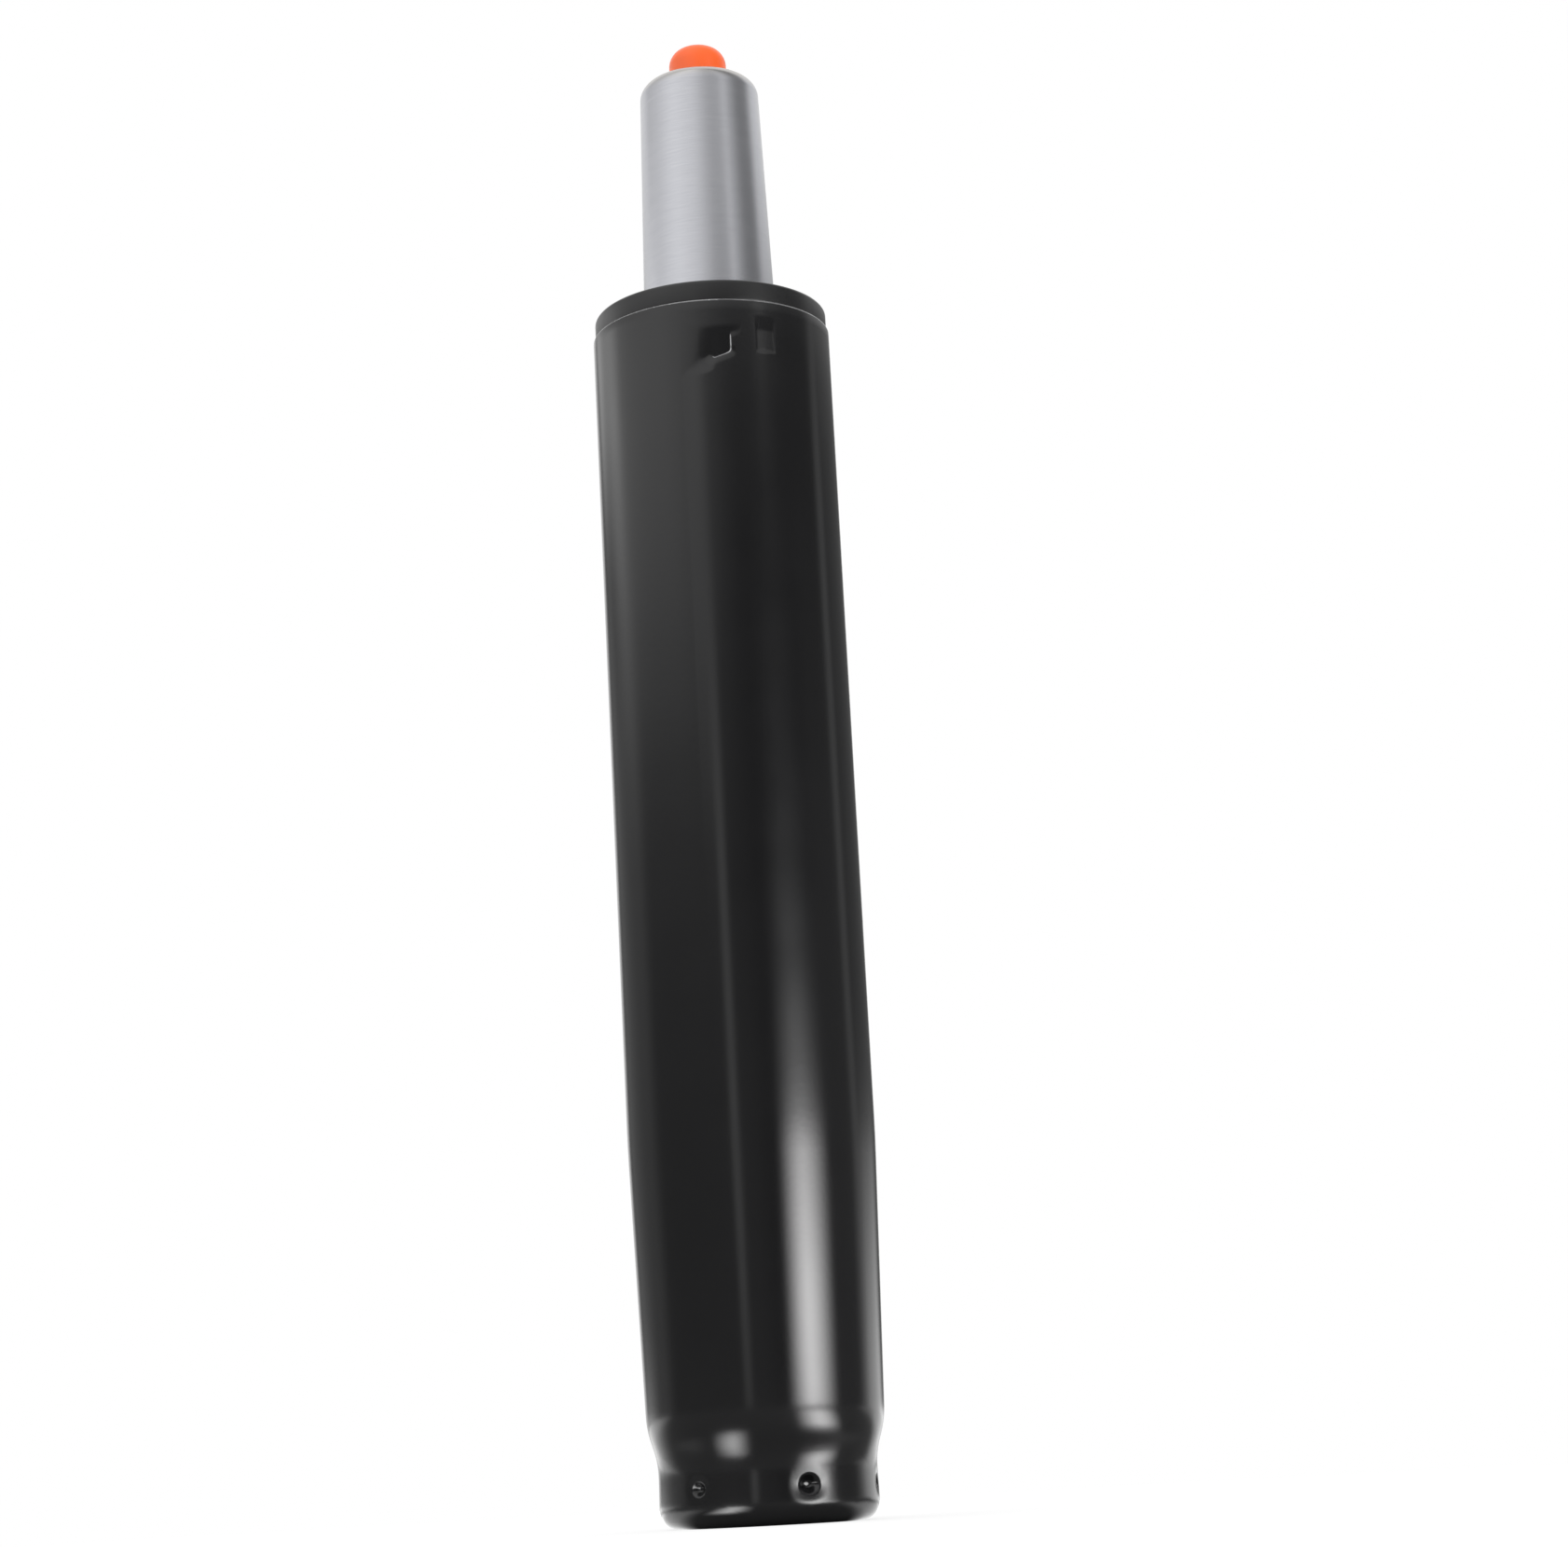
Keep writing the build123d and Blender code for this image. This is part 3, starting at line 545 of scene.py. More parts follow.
recipes = {
    "black_paint": (black_paint,),
    "black_plastic": (moulded, (0.0105, 0.0105, 0.011), (0.0135, 0.0135, 0.014), 0.3, 0.3 * MM),
    "ground_steel": (ground_steel,),
    "orange_plastic": (moulded, (0.93, 0.115, 0.009), (0.97, 0.13, 0.013), 0.36, 0.25 * MM),
    "zinc_steel": (plated_metal, (0.5, 0.52, 0.54), (0.66, 0.67, 0.68), 0.4),
    "bearing_steel": (turned_metal, (0.42, 0.42, 0.43), (0.55, 0.55, 0.56), 0.22, 0.2 * MM),
    "spring_steel": (plated_metal, (0.05, 0.05, 0.055), (0.09, 0.09, 0.095), 0.45),
    "rod_chrome": (turned_metal, (0.62, 0.63, 0.65), (0.7, 0.71, 0.73), 0.12, 0.1 * MM),
    "cage_nylon": (moulded, (0.66, 0.65, 0.6), (0.76, 0.75, 0.7), 0.45, 0.4 * MM),
    "guide_plastic": (moulded, (0.08, 0.08, 0.09), (0.11, 0.11, 0.12), 0.45, 0.3 * MM),
    "buffer_rubber": (moulded, (0.016, 0.016, 0.016), (0.026, 0.026, 0.026), 0.7, 0.5 * MM),
    "seal_rubber": (moulded, (0.02, 0.02, 0.021), (0.032, 0.032, 0.033), 0.55, 0.2 * MM),
    "piston_alloy": (turned_metal, (0.55, 0.56, 0.57), (0.68, 0.69, 0.7), 0.3, 0.25 * MM),
    "valve_alloy": (turned_metal, (0.52, 0.53, 0.54), (0.65, 0.66, 0.67), 0.28, 0.3 * MM),
    "valve_brass": (turned_metal, (0.52, 0.36, 0.13), (0.66, 0.47, 0.2), 0.26, 0.25 * MM),
}
finishes = {name: finish(name, *recipe) for name, recipe in recipes.items()}
print(len(finishes), "finishes")

# %% [markdown]
# The stand tube is one steel wall: a rolled-in lip at the foot, a swaged neck, the chair base's taper, the
# straight body and a rounded rim. Its section goes up the outside, over the rim and down the inside.

# %% The stand tube's section
lower_taper_radius = tube_radius - (taper_top - taper_bottom) * taper_slope
neck_radius = lower_taper_radius - neck_step
foot_radius = neck_radius + foot_flare
lip_radius = foot_radius - foot_edge
mouth_radius = lip_radius - lip_width
neck_middle = ((neck_radius + lower_taper_radius) / 2, (neck_bottom + taper_bottom) / 2)
sheared_edge = 0.25 * MM
taper_blend = 320 * MM
foot_roll = foot_edge - 0.6 * MM
swage_softness, taper_start = 0.75 * MM, 8 * MM

tube_section = (
    HalfSection(mouth_radius, wall / 2)
    .round_to((mouth_radius, 0), (foot_radius - foot_roll, 0), sheared_edge)
    .mark()
    .arc(foot_radius, foot_roll, heading=(1, 0))
    .line(neck_radius, neck_bottom)
    .arc(*neck_middle, heading=(0, 1))
    .arc(lower_taper_radius, taper_bottom)
    .line(lower_taper_radius + taper_start * taper_slope, taper_bottom + taper_start)
    .soften(swage_softness)
    .round_to((tube_radius, taper_top), (tube_radius, taper_top + 10 * MM), taper_blend)
    .round_to((tube_radius, tube_height), (tube_radius - wall / 2, tube_height), rim_edge)
    .round_to((tube_radius - wall, tube_height), (tube_radius - wall, taper_top), sheared_edge)
    .line(lower_taper_radius - wall, taper_bottom)
    .arc(neck_middle[0] - wall, neck_middle[1], heading=(0, -1))
    .arc(neck_radius - wall, neck_bottom)
    .line(foot_radius - wall, foot_edge)
    .arc(lip_radius, wall, heading=(0, -1))
    .round_to((mouth_radius, wall), (mouth_radius, wall / 2), sheared_edge)
)
print("tube section:", len(tube_section.points), "points")

# %% [markdown]
# Two kinds of mark are pressed into this wall: punch marks round the foot, and tabs staked under the rim.
# A boolean cut would leave hard, sharp holes. Pressed metal flows, so each mark gets a patch instead: rings
# of points round its middle, each pushed in by its own depth, spreading out to the patch's square border.

# %% Pressed patches
def border(first_angle, columns, low, high, rows):
    """The patch's border, anticlockwise from the middle of its right side."""
    last_angle = first_angle + columns * one_facet
    lengths = [low + (high - low) * i / rows for i in range(rows + 1)]
    angles = [first_angle + one_facet * i for i in range(columns + 1)]
    up = [(last_angle, length) for length in lengths[:-1]]
    back = [(angle, high) for angle in reversed(angles[1:])]
    down = [(first_angle, length) for length in reversed(lengths[1:])]
    ahead = [(angle, low) for angle in angles[:-1]]
    loop = up + back + down + ahead
    return loop[rows // 2:] + loop[: rows // 2]


def pressed_patch(loop, middle, radius, sizes, outline, push, spread, worn=None):
    """Rings of these sizes round the middle, then as many more as spread says, out to the border."""
    count = len(loop)
    turns = [TURN * i / count for i in range(count)]
    points = [(*middle, push(0, 0))]
    for size in sizes:
        for turn in turns:
            x, y = outline(turn, size)
            points.append((middle[0] + x / radius, middle[1] + y, push(turn, size)))
    last = points[-count:]
    for ring in range(1, spread + 1):
        part = ring / spread
        for (angle, length, depth), (to_angle, to_length) in zip(last, loop):
            here = angle + (to_angle - angle) * part, length + (to_length - length) * part
            points.append((*here, depth * (1 - part)))
    following = [(i + 1) % count for i in range(count)]
    faces = [(0, 1 + i, 1 + j) for i, j in enumerate(following)]
    for start in range(1, len(points) - count, count):
        outer = start + count
        faces += [(start + i, outer + i, outer + j, start + j) for i, j in enumerate(following)]
    wear = [0.0] * len(points)
    if worn:
        wear[1:1 + count * len(sizes)] = [worn(turn, size) for size in sizes for turn in turns]
    return points, faces, wear


def ease(low, high, value):
    """0 below low, 1 above high, and a smooth rise between."""
    part = min(1, max(0, (value - low) / (high - low)))
    return part * part * (3 - 2 * part)


# %% [markdown]
# Six punch marks lock the bottom plate in the foot, and every second one is struck harder, so it is larger.
# The punch leaves a cone-shaped pit with a rounded mouth that is a little flat, and drags the wall round it
# in a little, so that light runs up to the mouth without a hard line.

# %% Punch marks
punch_angle = math.radians(-68.8)
punch_height = 7.5 * MM
punch_pairs, light_blow, punch_flatness = 3, 0.74, 0.88
pit_mouth, pit_floor, pit_depth = 2.45 * MM, 0.5 * MM, 1.5 * MM
dish_reach, dish_depth = 4.6 * MM, 0.22 * MM
punch_reach, punch_spread = 6.2 * MM, 6


def punch_outline(turn, size):
    return size * math.cos(turn), punch_flatness * size * math.sin(turn)


def punch_push(turn, size):
    dish = dish_depth * (1 - min(1, size / dish_reach) ** 2) ** 2
    return -dish - pit_depth * (1 - ease(pit_floor, pit_mouth, size))


punch_length = tube_section.length_at(punch_height)
punch_low, punch_high = punch_length - punch_reach, punch_length + punch_reach
punch_rings = [0.3, 0.55, 0.8, 1.05, 1.3, 1.55, 1.8, 2.0, 2.15, 2.3, 2.45, 2.65, 2.9]
punch_rings += [3.2, 3.6, 4.0, 4.4, 4.8, 5.2, 5.7]
punch_columns, punch_rows, first_border = facets // 6, 34, math.radians(-99)


def punch_patch(place, blow):
    """One mark's patch, the first or the second of a pair, struck with this share of a full blow."""
    turned_on = place * punch_columns * one_facet
    loop = border(first_border + turned_on, punch_columns, punch_low, punch_high, punch_rows)
    middle = (punch_angle + turned_on, punch_length)
    rings = [blow * size * MM for size in punch_rings]
    push = lambda turn, size: blow * punch_push(turn, size / blow)
    return pressed_patch(loop, middle, neck_radius, rings, punch_outline, push, punch_spread)


punch_sheet = joined(punch_patch(0, 1), punch_patch(1, light_blow))
print("punch patches:", len(punch_sheet[1]), "faces")

# %% [markdown]
# Two pairs of tabs are staked into the bushing so that it can't lift out. The left tab of a pair is struck
# hard: it is sheared along its bottom and right edges, hangs in from its top, and drags the wall on its
# left along in a soft slope. Its bottom edge runs down to a point a third of the way along. The right tab
# is struck lightly, and is only a shallow flat.

# %% Staked tabs
tab_pairs, tab_pair_angle, tab_height = 2, math.radians(-75), 236.6 * MM
tab_columns, slope_columns, tab_rows = 23, 7, 28
tab_reach, tab_spread = 7 * MM, 3
tab_half_width, tab_half_height = 2.4 * MM, 3.2 * MM
tab_lean, hinge, tab_lip = math.radians(4.8), 1.2 * MM, 0.26 * MM
light_half_width, light_bottom, light_top = 2 * MM, -1.7 * MM, 2.6 * MM
light_depth, light_tilt = 0.09 * MM, math.radians(0.7)
point_across, left_rise, right_rise = -0.9 * MM, 0.65 / 1.7, 1.2 / 3.5
slope_across, slope_down = (-6 * MM, -0.8 * MM), (-6.9 * MM, -2.8 * MM)
sheared_turn = -40


def tab_outline(turn, size):
    across, up = math.cos(turn), math.sin(turn)
    reach = ((abs(across) / tab_half_width) ** 5 + (abs(up) / tab_half_height) ** 5) ** -0.2
    x, y = reach * across, reach * up
    if y < 0:
        rise = left_rise * max(0, point_across - x) + right_rise * max(0, x - point_across)
        y += rise * (y / tab_half_height) ** 2
    return size * x, size * y


def sheared(turn):
    """1 round the bottom right corner, where the tab is cut free, and 0 where it bends."""
    return 1 - ease(60, 90, abs((math.degrees(turn) - sheared_turn + 180) % 360 - 180))


def hard_push(turn, size):
    x, y = tab_outline(turn, size)
    below = max(0, tab_half_height + hinge / 2 - y)
    hung = below ** 2 / (2 * hinge) if below < hinge else below - hinge / 2
    bend = math.tan(tab_lean) * hung * ease(*slope_across, x) * ease(*slope_down, y)
    cut = sheared(turn) * ease(0.93, 1.12, size)
    down = ease(0.3, 0.9, -math.sin(turn))
    lip = tab_lip * down * (1 - min(1, max(0, size - 1) / 0.5)) ** 2
    return -bend * (1 - cut) - lip * cut


def light_push(turn, size):
    x, y = tab_outline(turn, size)
    wide = 1 - ease(light_half_width - 0.2 * MM, light_half_width + 0.3 * MM, abs(x))
    tall = 1 - ease(light_top, light_top + 3.4 * MM, y)
    tall *= ease(light_bottom - 0.3 * MM, light_bottom + 0.2 * MM, y)
    return -(light_depth + y * math.tan(light_tilt)) * wide * tall


def tab_worn(turn, size):
    """1 along the sheared edges, where the paint doesn't hold."""
    return sheared(turn) * ease(0.97, 1.0, size) * (1 - ease(1.04, 1.09, size))


tab_rings = [0.15, 0.3, 0.45, 0.58, 0.7, 0.8, 0.87, 0.93, 0.96, 0.985, 1.005, 1.02, 1.035, 1.05, 1.07, 1.09]
tab_rings += [1.12, 1.2, 1.3, 1.42, 1.55, 1.7, 1.85]
tab_length = tube_section.length_at(tab_height)
tab_low, tab_high = tab_length - tab_reach, tab_length + tab_reach


def tab_patch(side, extra, push, share_worn):
    """One tab's patch, left or right of the pair's middle, with extra columns on its left."""
    middle = tab_pair_angle + (side - 0.5) * tab_columns * one_facet
    first = tab_pair_angle + ((side - 1) * tab_columns - extra) * one_facet
    loop = border(first, tab_columns + extra, tab_low, tab_high, tab_rows)
    worn = lambda turn, size: share_worn * tab_worn(turn, size)
    place = (middle, tab_length)
    return pressed_patch(loop, place, tube_radius, tab_rings, tab_outline, push, tab_spread, worn)


tab_lengths = [tab_low + (tab_high - tab_low) * i / tab_rows for i in range(tab_rows + 1)]
bare_columns = facets // tab_pairs - 2 * tab_columns - slope_columns
bare_grid = grid(tab_pair_angle + tab_columns * one_facet, bare_columns, tab_lengths)
hard_tab, light_tab = tab_patch(0, slope_columns, hard_push, 1), tab_patch(1, 0, light_push, 0)
tab_sheet = joined(hard_tab, light_tab, bare_grid)
print("tab sheet:", len(tab_sheet[1]), "faces")

# %% [markdown]
# The tube is five bands, one above the other: the lip, the punch marks, the tapered and straight wall, the
# tabs, and the rim with the whole inside. Each is rolled on its own, and they are welded into one skin.

# %% Stand tube
def between(lengths, low, high, apart=weld_distance):
    """The lengths from low to high, none nearer to the one before it than this."""
    kept = [low]
    for length in lengths:
        if kept[-1] + apart < length < high - weld_distance:
            kept.append(length)
    return [*kept, high]


tube_lengths = tube_section.lengths()
wall_lengths = between(tube_lengths, punch_high, tab_low, apart=0.7 * MM)
rim_lengths = between(tube_lengths, tab_high, tube_lengths[-1])
stand_bands = [
    slices(between(tube_lengths, 0, punch_low)),
    (punch_sheet, punch_pairs),
    slices(wall_lengths),
    (tab_sheet, tab_pairs),
    slices(rim_lengths),
]
stand_piece = turned("stand_tube_skin", tube_section, finishes["black_paint"], stand_bands, crease=50)

# %% [markdown]
# The bushing is one moulding. Its flange sits on the tube's rim and shows; its sleeve guides the column and
# is out of sight. The sleeve has a groove for the staked tabs and eight channels that keep its wall even,
# so the mould fills well. The channels are open at the bottom, so their columns start nearer the axis.

# %% Guide bushing
sleeve_radius = tube_radius - wall - 0.1 * MM
bore_radius = column_radius + 0.05 * MM
groove_bottom, groove_top, groove_radius = 232.4 * MM, 240.8 * MM, 21.2 * MM
channels, channel_top, channel_floor, channel_half_columns = 8, 226.4 * MM, 18.45 * MM, 7
mould_edge = 0.2 * MM
flange_edge = 0.8 * MM
mouth_chamfer = 1 * MM

flange_middle = (tube_height + flange_top) / 2
mouth_outer = bore_radius + mouth_chamfer
mouth_middle = (bore_radius + mouth_chamfer / 2, flange_top - mouth_chamfer / 2)

bushing_section = (
    HalfSection(bore_radius, bushing_bottom)
    .line(sleeve_radius, bushing_bottom)
    .line(sleeve_radius, groove_bottom)
    .line(groove_radius, groove_bottom)
    .line(groove_radius, groove_top)
    .line(sleeve_radius, groove_top)
    .line(sleeve_radius, tube_height)
    .round_to((flange_radius, tube_height), (flange_radius, flange_middle), mould_edge)
    .round_to((flange_radius, flange_top), (mouth_outer + 2 * MM, flange_top), flange_edge)
    .round_to((mouth_outer, flange_top), mouth_middle, mould_edge)
    .round_to((bore_radius, flange_top - mouth_chamfer), (bore_radius, bushing_bottom), mould_edge)
)

bushing_lengths = bushing_section.lengths()
channel_end = bushing_section.length_at(channel_top)
corner_length = bushing_lengths[1]


def channel_sheet(columns):
    """One repeat of the sleeve's lowest band, from its bore to the tops of the channels."""
    points, half = [], columns // 2
    for column in range(-half, columns - half + 1):
        cut = abs(column) <= channel_half_columns
        turned_in = channel_floor - sleeve_radius if cut else 0
        edge = channel_floor - bore_radius if cut else corner_length
        rows = [(0, 0), (edge, 0), (corner_length + 0.01 * MM, turned_in), (channel_end, turned_in)]
        rows.append((channel_end, 0))
        points += [(one_facet * column, along, push) for along, push in rows]
    corners = [5 * column + row for column in range(columns) for row in range(4)]
    faces = [(i, i + 5, i + 6, i + 1) for i in corners]
    return points, faces, [0.0] * len(points)


upper_lengths = between(bushing_lengths, channel_end, bushing_lengths[-1])
bushing_bands = [(channel_sheet(facets // channels), channels), slices(upper_lengths)]
bushing_piece = turned(
    "guide_bushing_moulding", bushing_section, finishes["black_plastic"], bushing_bands
)

# %% [markdown]
# The column is the gas cylinder's pressure tube. Its foot is rolled in under the rod guide, its top taper
# wedges into the seat, and its shoulder is rolled over the valve, which leaves the opening for the button.

# %% Pressure tube
column_wall = 1.5 * MM
column_foot_edge = 2 * MM
column_foot_opening = 7.5 * MM
column_straight = 228 * MM
column_taper = 50 * MM
shoulder_edge = 3.5 * MM
top_opening, top_opening_edge = 7.2 * MM, 0.4 * MM
column_kink = column_bottom + column_straight
shoulder_bottom = column_kink + column_taper
shoulder_radius = column_radius - column_taper * taper_slope
top_flat_radius = shoulder_radius - shoulder_edge
column_blend = 500 * MM
foot_edge_start = column_radius - column_foot_edge
inner_radius = column_radius - column_wall
top_inside = column_top - column_wall

column_section = (
    HalfSection(column_foot_opening, column_bottom + column_wall / 2)
    .round_to((column_foot_opening, column_bottom), (foot_edge_start, column_bottom), sheared_edge)
    .arc(column_radius, column_bottom + column_foot_edge, heading=(1, 0))
    .round_to((column_radius, column_kink), (shoulder_radius, shoulder_bottom), column_blend)
    .arc(top_flat_radius, column_top, heading=(0, 1))
    .round_to((top_opening, column_top), (top_opening, column_top - column_wall / 2), top_opening_edge)
    .line(top_opening, top_inside)
    .line(top_flat_radius, top_inside)
    .arc(shoulder_radius - column_wall, shoulder_bottom, heading=(1, 0))
    .line(inner_radius, column_kink)
    .line(inner_radius, column_bottom + column_foot_edge)
    .arc(foot_edge_start, column_bottom + column_wall, heading=(0, -1))
    .line(column_foot_opening, column_bottom + column_wall)
    .line(column_foot_opening, column_bottom + column_wall / 2)
)
column_piece = turned("pressure_tube_skin", column_section, finishes["ground_steel"])

# %% [markdown]
# The release button is a moulded cap with a slightly domed top. A large rounding leads into the dome, and
# where the two arcs meet they share a tangent. Its collar stays under the valve cap and never shows.

# %% Release button
stem_hole = 2.55 * MM
stem_radius = 6.15 * MM
socket_depth = 7.5 * MM
collar_height = 2.4 * MM
button_edge = 4 * MM
dome_rise = 1 * MM
dome_radius = (stem_radius ** 2 + dome_rise ** 2) / (2 * dome_rise)
edge_middle = stem_radius - button_edge
lean = math.asin(edge_middle / (dome_radius - button_edge))
edge_height = button_top - dome_radius + (dome_radius - button_edge) * math.cos(lean)
dome_start = (dome_radius * math.sin(lean), button_top - dome_radius * (1 - math.cos(lean)))

collar_top = button_bottom + collar_height
collar_middle = (collar_radius, (button_bottom + collar_top) / 2)

button_section = (
    HalfSection(0, button_bottom + socket_depth)
    .line(stem_hole, button_bottom + socket_depth)
    .line(stem_hole, button_bottom + 1 * MM)
    .round_to((stem_hole, button_bottom), (collar_radius / 2, button_bottom), mould_edge)
    .round_to((collar_radius, button_bottom), collar_middle, mould_edge)
    .round_to((collar_radius, collar_top), (stem_radius + 0.3 * MM, collar_top), mould_edge)
    .line(stem_radius, collar_top)
    .line(stem_radius, edge_height)
    .arc(*dome_start, heading=(0, 1))
    .arc(0, button_top, heading=(-math.cos(lean), math.sin(lean)))
)
button_piece = turned("release_button_cap", button_section, finishes["orange_plastic"])

# %% [markdown]
# From below you look into the foot, at the pressed plate that carries the seat's load and at the end of
# the piston rod with its washer and clip. These are turned or pressed parts too, with softly broken edges.

# %% Bottom plate and washer
pressed_edge = 0.5 * MM
plate_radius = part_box("bottom_plate")[1].x
plate_hole = 4.1 * MM
plate_bottom, plate_top = wall, 4.4 * MM
dish_bottom, dish_top, dish_radius, slope_end = 4.6 * MM, 7 * MM, 13.2 * MM, 15.2 * MM

slope_middle = ((dish_radius + slope_end) / 2, (dish_bottom + plate_bottom) / 2)
plate_edge = plate_radius - (foot_edge - wall)

plate_section = (
    HalfSection(plate_hole, (dish_bottom + dish_top) / 2)
    .round_to((plate_hole, dish_bottom), (plate_hole + 2 * MM, dish_bottom), 0.3 * MM)
    .round_to((dish_radius, dish_bottom), slope_middle, pressed_edge)
    .round_to((slope_end, plate_bottom), (plate_edge, plate_bottom), pressed_edge)
    .arc(plate_radius, foot_edge, heading=(1, 0))
    .line(plate_radius, plate_top)
    .line(slope_end, plate_top)
    .line(dish_radius, dish_top)
    .round_to((plate_hole, dish_top), (plate_hole, (dish_bottom + dish_top) / 2), 0.3 * MM)
)
plate_piece = turned("bottom_plate_pressing", plate_section, finishes["zinc_steel"])

washer_low, washer_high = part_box("clip_washer")
washer_middle = (washer_low.z + washer_high.z) / 2
washer_hole, washer_edge, washer_radius = 4.05 * MM, 0.15 * MM, washer_high.x
washer_section = (
    HalfSection(washer_hole, washer_middle)
    .round_to((washer_hole, washer_low.z), (washer_radius - 1 * MM, washer_low.z), washer_edge)
    .round_to((washer_radius, washer_low.z), (washer_radius, washer_middle), washer_edge)
    .round_to((washer_radius, washer_high.z), (washer_hole + 1 * MM, washer_high.z), washer_edge)
    .round_to((washer_hole, washer_high.z), (washer_hole, washer_middle), washer_edge)
)
washer_piece = turned("clip_washer_blank", washer_section, finishes["zinc_steel"])

# %% [markdown]
# The piston rod is stepped: a thin spigot through the bearing at the bottom, the chromed rod, and a thin
# spigot for the piston at the top. The clip sits in a groove just above its lower end.

# %% Piston rod
rod_low, rod_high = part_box("piston_rod")
clip_low, clip_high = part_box("retaining_clip")
spigot_radius, rod_radius = 4 * MM, 5 * MM
end_chamfer = 0.6 * MM
groove_floor = 3.1 * MM
rod_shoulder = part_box("upper_race")[1].z
piston_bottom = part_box("piston_lower_washer")[0].z

rod_section = (
    HalfSection(0, rod_low.z)
    .line(spigot_radius - end_chamfer, rod_low.z)
    .line(spigot_radius, rod_low.z + end_chamfer)
    .line(spigot_radius, clip_low.z - 0.05 * MM)
    .line(groove_floor, clip_low.z - 0.05 * MM)
    .line(groove_floor, clip_high.z)
    .line(spigot_radius, clip_high.z)
    .line(spigot_radius, rod_shoulder)
    .round_to((rod_radius, rod_shoulder), (rod_radius, rod_shoulder + 2 * MM), 0.3 * MM)
    .round_to((rod_radius, piston_bottom), (spigot_radius, piston_bottom), 0.3 * MM)
    .line(spigot_radius, rod_high.z - end_chamfer)
    .line(spigot_radius - end_chamfer, rod_high.z)
    .line(0, rod_high.z)
)
rod_piece = turned("piston_rod_turning", rod_section, finishes["rod_chrome"])

# %% [markdown]
# The clip is stamped from spring strip: an open ring with a mouth to push it on and two small eyes that
# a fitter's pliers grip. It isn't round all the way, so its outline is drawn flat and given a thickness.

# %% Retaining clip
clip_outer, clip_inner, clip_mouth = 6.6 * MM, 3.15 * MM, 5.4 * MM
eye_radius, eye_angle = 1.1 * MM, math.radians(110)
clip_columns = 120


def clip_inner_edge(angle):
    """The inner edge's radius at this angle: the plain ring, or the far side of an eye."""
    off = min(abs(angle - eye_angle), abs(angle - (TURN - eye_angle)))
    reach = eye_radius ** 2 - (clip_inner * math.sin(off)) ** 2
    if reach <= 0 or off > 1:
        return clip_inner
    return max(clip_inner, clip_inner * math.cos(off) + math.sqrt(reach))


form = bmesh.new()
outer_start = math.asin(clip_mouth / 2 / clip_outer)
inner_start = math.asin(clip_mouth / 2 / clip_inner)
clip_rows = []
for column in range(clip_columns + 1):
    part = column / clip_columns
    pair = []
    for start, radius in ((inner_start, None), (outer_start, clip_outer)):
        angle = start + (TURN - 2 * start) * part
        radius = radius or clip_inner_edge(angle)
        pair.append(form.verts.new((radius * math.cos(angle), radius * math.sin(angle), clip_low.z)))
    clip_rows.append(pair)
for (inner, outer), (next_inner, next_outer) in zip(clip_rows, clip_rows[1:]):
    form.faces.new((inner, next_inner, next_outer, outer))
lifted = bmesh.ops.extrude_face_region(form, geom=list(form.faces))
bmesh.ops.translate(
    form,
    verts=[item for item in lifted["geom"] if isinstance(item, bmesh.types.BMVert)],
    vec=(0, 0, clip_high.z - clip_low.z),
)
sharp = [edge for edge in form.edges if edge.calc_face_angle(0) > math.radians(60)]
bmesh.ops.bevel(form, geom=sharp, offset=0.1 * MM, segments=2, affect="EDGES", profile=0.5)
clip_mesh = bpy.data.meshes.new("clip")
form.to_mesh(clip_mesh)
form.free()
clip_piece = weld_bands("retaining_clip_stamping", [clip_mesh], finishes["spring_steel"], crease=40)

# %% [markdown]
# The parts that never show keep the imported model's own shapes, which are exact. They only get finishes.
# Each new piece is put on the body that it rides on, and the imported part that it stands for is hidden.

# %% Bodies and slots
new_pieces = {
    "stand_tube": (stand_piece, "stand", "black_paint"),
    "guide_bushing": (bushing_piece, "stand", "black_plastic"),
    "pressure_tube": (column_piece, "column", "ground_steel"),
    "release_button": (button_piece, "release", "orange_plastic"),
    "bottom_plate": (plate_piece, "stand", "zinc_steel"),
    "clip_washer": (washer_piece, "rod", "zinc_steel"),
    "piston_rod": (rod_piece, "rod", "rod_chrome"),
    "retaining_clip": (clip_piece, "rod", "spring_steel"),
}
for node, (piece, body, slot) in new_pieces.items():
    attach(piece, body)
    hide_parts(node)

kept = {name: part for name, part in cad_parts.items() if name not in new_pieces}
for name, part in kept.items():
    for holder in part.material_slots:
        slot_name = holder.material.name.split(".")[0]
        print(name, slot_name, len(part.data.polygons))
        holder.material = finishes[slot_name]
print(len(new_pieces), "new pieces,", len(kept), "kept parts")

# %% [markdown]
# The camera looks up a little from just above the floor, as the photograph does, with a slight tilt. Its
# turn is written as three angles, and its matrix is built from the right, up and backward directions.

# %% Camera
camera_place = Vector((0, -0.6548, 0.0085))
camera_pitch, camera_yaw, camera_roll = math.radians(12.09), math.radians(0.91), math.radians(-3.07)

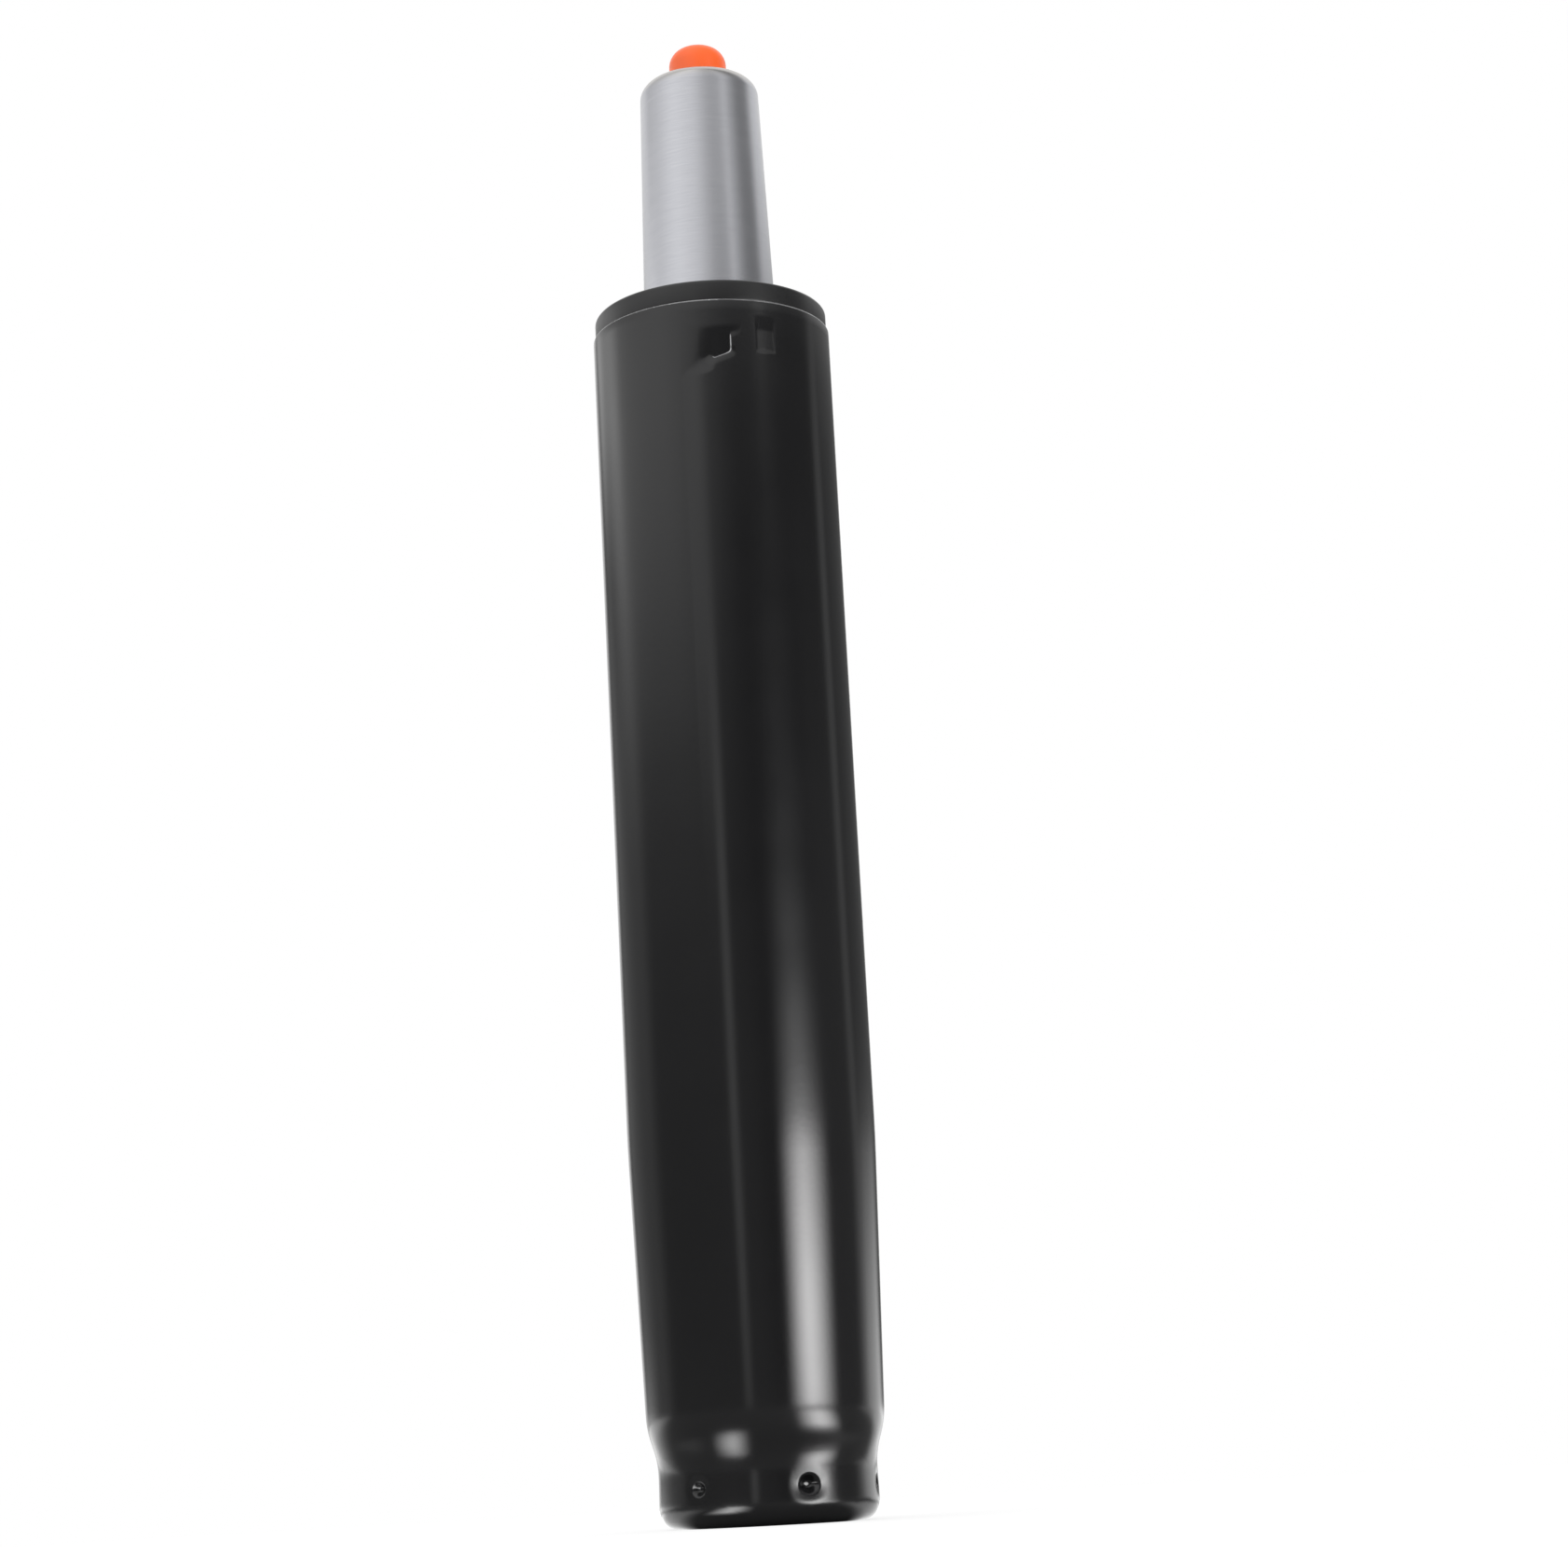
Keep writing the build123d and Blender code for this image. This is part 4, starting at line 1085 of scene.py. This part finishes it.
camera_data = bpy.data.cameras.new("camera")
camera_data.lens = 74.46
camera_data.sensor_width = 36
camera_data.clip_start = 0.01
camera = placed("camera", camera_data)
ahead = Vector((
    math.sin(camera_yaw) * math.cos(camera_pitch),
    math.cos(camera_yaw) * math.cos(camera_pitch),
    math.sin(camera_pitch),
))
level = Vector((math.cos(camera_yaw), -math.sin(camera_yaw), 0))
upright = level.cross(ahead)
right = math.cos(camera_roll) * level + math.sin(camera_roll) * upright
up = math.cos(camera_roll) * upright - math.sin(camera_roll) * level
camera.matrix_world = Matrix.Translation(camera_place) @ Matrix((right, up, -ahead)).transposed().to_4x4()
bpy.context.scene.camera = camera
print("camera:", round(camera_data.lens, 2), "mm lens,", round(camera_place.length / MM), "mm away")

# %% [markdown]
# The studio is painted on the world as soft panels. A panel is a window in azimuth and elevation: azimuth 0
# is towards the camera's side of the object and grows to its right. Shiny round parts show each panel as an
# upright streak, so the panels' places come straight from the streaks on the real column and tube.

# %% Studio panels
def window(graph, value, low, high):
    """1 between two edges and 0 outside them. Each edge is (place, softness)."""
    above = step(graph, value, low[0] - low[1], low[0] + low[1])
    return above - above * step(graph, value, high[0] - high[1], high[0] + high[1])


def turned_window(graph, azimuth, left, right):
    """A window between two azimuths in degrees, which may reach past the back."""
    middle = (left[0] + right[0]) / 2
    offset = azimuth * (180 / math.pi) - middle
    away = offset.math("WRAP", offset, 180, -180)
    return window(graph, away, (left[0] - middle, left[1]), (right[0] - middle, right[1]))


world = bpy.data.worlds.new("studio")
bpy.context.scene.world = world
world.use_nodes = True
world.node_tree.nodes.clear()
sky = Graph(world.node_tree)
east, north, aloft = sky.split(sky.add("ShaderNodeTexCoord", output="Generated"))
azimuth = east.math("ARCTAN2", east, 0 - north)
elevation = aloft.math("ARCSINE", aloft)

panels = {
    "big left panel": ((-121, 14), (-14, 40), (15, 4.5), (95, 4), 1.25),
    "flag on its top left": ((-120, 10), (-76, 30), (21, 1), (95, 4), -0.42),
    "left edge glow": ((-150, 8), (-108, 10), (17.5, 2), (21, 1.5), 1.2),
    "left wall": ((-152, 8), (-100, 10), (-14, 4), (17, 4), 0.32),
    "dim left wall": ((-105, 12), (-15, 12), (-14, 4), (20, 5), 0.15),
    "low left panel": ((-162, 8), (-128, 12), (-12, 4), (0.2, 1.2), 0.75),
    "low right lamp": ((35, 13), (61, 17), (-4, 2), (4, 3.5), 17),
    "glow under the lamp": ((35, 13), (61, 17), (-35, 6), (-4, 2), 2.6),
    "right back panel": ((117, 8), (152, 8), (-12, 4), (3.3, 4), 1.7),
    "low back panel": ((150, 8), (169.5, 6), (-12, 4), (-0.3, 1.5), 1.8),
    "dim right wall": ((117, 8), (165, 6), (-12, 4), (21, 1.5), 0.14),
    "narrow strip": ((-18, 2), (-11, 2), (-2, 2), (15, 3), 0.75),
    "dim front wall": ((-14, 8), (12, 14), (-6, 4), (11, 4), 0.15),
    "dim side wall": ((72, 10), (108, 8), (-6, 4), (15, 8), 0.17),
    "side strip": ((107, 4), (117, 4), (-10, 4), (20, 3), 0.4),
    "ceiling": ((-30, 20), (238, 12), (21, 0.8), (95, 4), 0.3),
    "front ceiling": ((-15, 20), (68, 12), (21, 0.8), (95, 4), 0.35),
    "upper strip": ((42, 5), (54, 5), (21, 1), (95, 4), 0.23),
    "bright end of the upper strip": ((42, 5), (54, 5), (20.4, 0.6), (23.2, 2.4), 0.55),
    "back ceiling": ((110, 12), (235, 12), (21.3, 3), (95, 4), 0.7),
}
height_in_degrees = elevation * (180 / math.pi)
room_light = 0.01
light = room_light
for left, right, low, high, strength in panels.values():
    panel = turned_window(sky, azimuth, left, right) * window(sky, height_in_degrees, low, high)
    light = light + strength * panel
print(len(panels), "panels")

seen, mirrored, through, soft = sky.rays("Camera", "Glossy", "Transmission", "Diffuse")
backdrop = turned_window(sky, azimuth, (168, 5), (203, 5))
behind = backdrop * mirrored
fill = soft * (0.45 - 0.2 * east)
shown = (light + fill) * (1 - behind) + behind
studio = sky.add("ShaderNodeBackground", {"Color": (1, 1, 1, 1), "Strength": shown})
white = sky.add("ShaderNodeBackground", {"Color": (1, 1, 1, 1), "Strength": 1})
plain = seen.math("MAXIMUM", seen, through)
mixed = sky.add("ShaderNodeMixShader", {0: plain, 1: studio, 2: white})
sky.node("ShaderNodeOutputWorld", {"Surface": mixed})

# %% [markdown]
# The floor is plain, and pale to the camera: its own colour is a dark grey, and it glows almost white for
# camera rays. The camera sees it from almost level, so it reads as part of the white background, and only
# the soft shadow beside the foot shows where it is. Shiny parts see painted light on it, which glows only
# in reflections: a broad painted pool where the low lamp would light it, a small painted patch by the foot,
# which gives the neck a painted highlight, and a painted glow on each side, which gives the foot's edges
# painted highlights.

# %% Floor
floor_radius, brightest = 0.5, 15
floor_mesh = bpy.data.meshes.new("floor")
form = bmesh.new()
bmesh.ops.create_circle(form, cap_ends=True, radius=floor_radius, segments=128)
form.to_mesh(floor_mesh)
form.free()


def floor_with_painted_reflections(graph, place):
    seen, mirrored, through = graph.rays("Camera", "Glossy", "Transmission")
    over, away, _ = graph.split(place)
    azimuth = over.math("ARCTAN2", over, 0 - away)
    distance = over.math("SQRT", over * over + away * away)
    far = step(graph, away, 0.03, 0.12)
    # Painted light for reflections only: the floor glows in these pools and patches though it is no lamp,
    # which puts painted highlights on the neck and foot.
    painted_lamp_pool = turned_window(graph, azimuth, (36, 12), (60, 12)) * step(graph, distance, 0.05, 0.08)
    painted_pool_strength = 12 - 9.4 * step(graph, distance, 0.15, 0.3)
    painted_neck_highlight = turned_window(graph, azimuth, (-37, 11), (-20, 9))
    painted_neck_highlight = painted_neck_highlight * window(graph, distance, (0.027, 0.003), (0.057, 0.013))
    painted_left_glow = turned_window(graph, azimuth, (-160, 8), (-110, 16))
    painted_right_glow = turned_window(graph, azimuth, (122, 8), (160, 8))
    painted_side_glow = (0.85 * painted_left_glow + 0.7 * painted_right_glow) * step(graph, distance, 0.016, 0.024)
    beside_foot = 1 - turned_window(graph, azimuth, (-58, 12), (62, 12))
    painted_foot_glow = 1.3 * beside_foot * (1 - step(graph, distance, 0.026, 0.065))
    painted_reflected_light = 0.75 * far + painted_pool_strength * painted_lamp_pool + 8.5 * painted_neck_highlight + painted_side_glow + painted_foot_glow
    floor_light = 0.76 + 0.24 * step(graph, distance, 0.1, 0.3)
    shown = floor_light * seen.math("MAXIMUM", seen, through) + mirrored * painted_reflected_light
    return {
        "Base Color": (0.25, 0.25, 0.25, 1),
        "Roughness": 0.9,
        "Specular IOR Level": 0.0,
        "Emission Color": shown / brightest,
        "Emission Strength": brightest,
    }


floor_mesh.materials.append(finish("floor_with_painted_reflections", floor_with_painted_reflections))
floor = placed("floor", floor_mesh)
floor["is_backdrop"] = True
print("floor:", floor_radius, "m radius")

# %% Finish
bpy.context.scene.view_settings.view_transform = "Standard"
low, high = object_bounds()
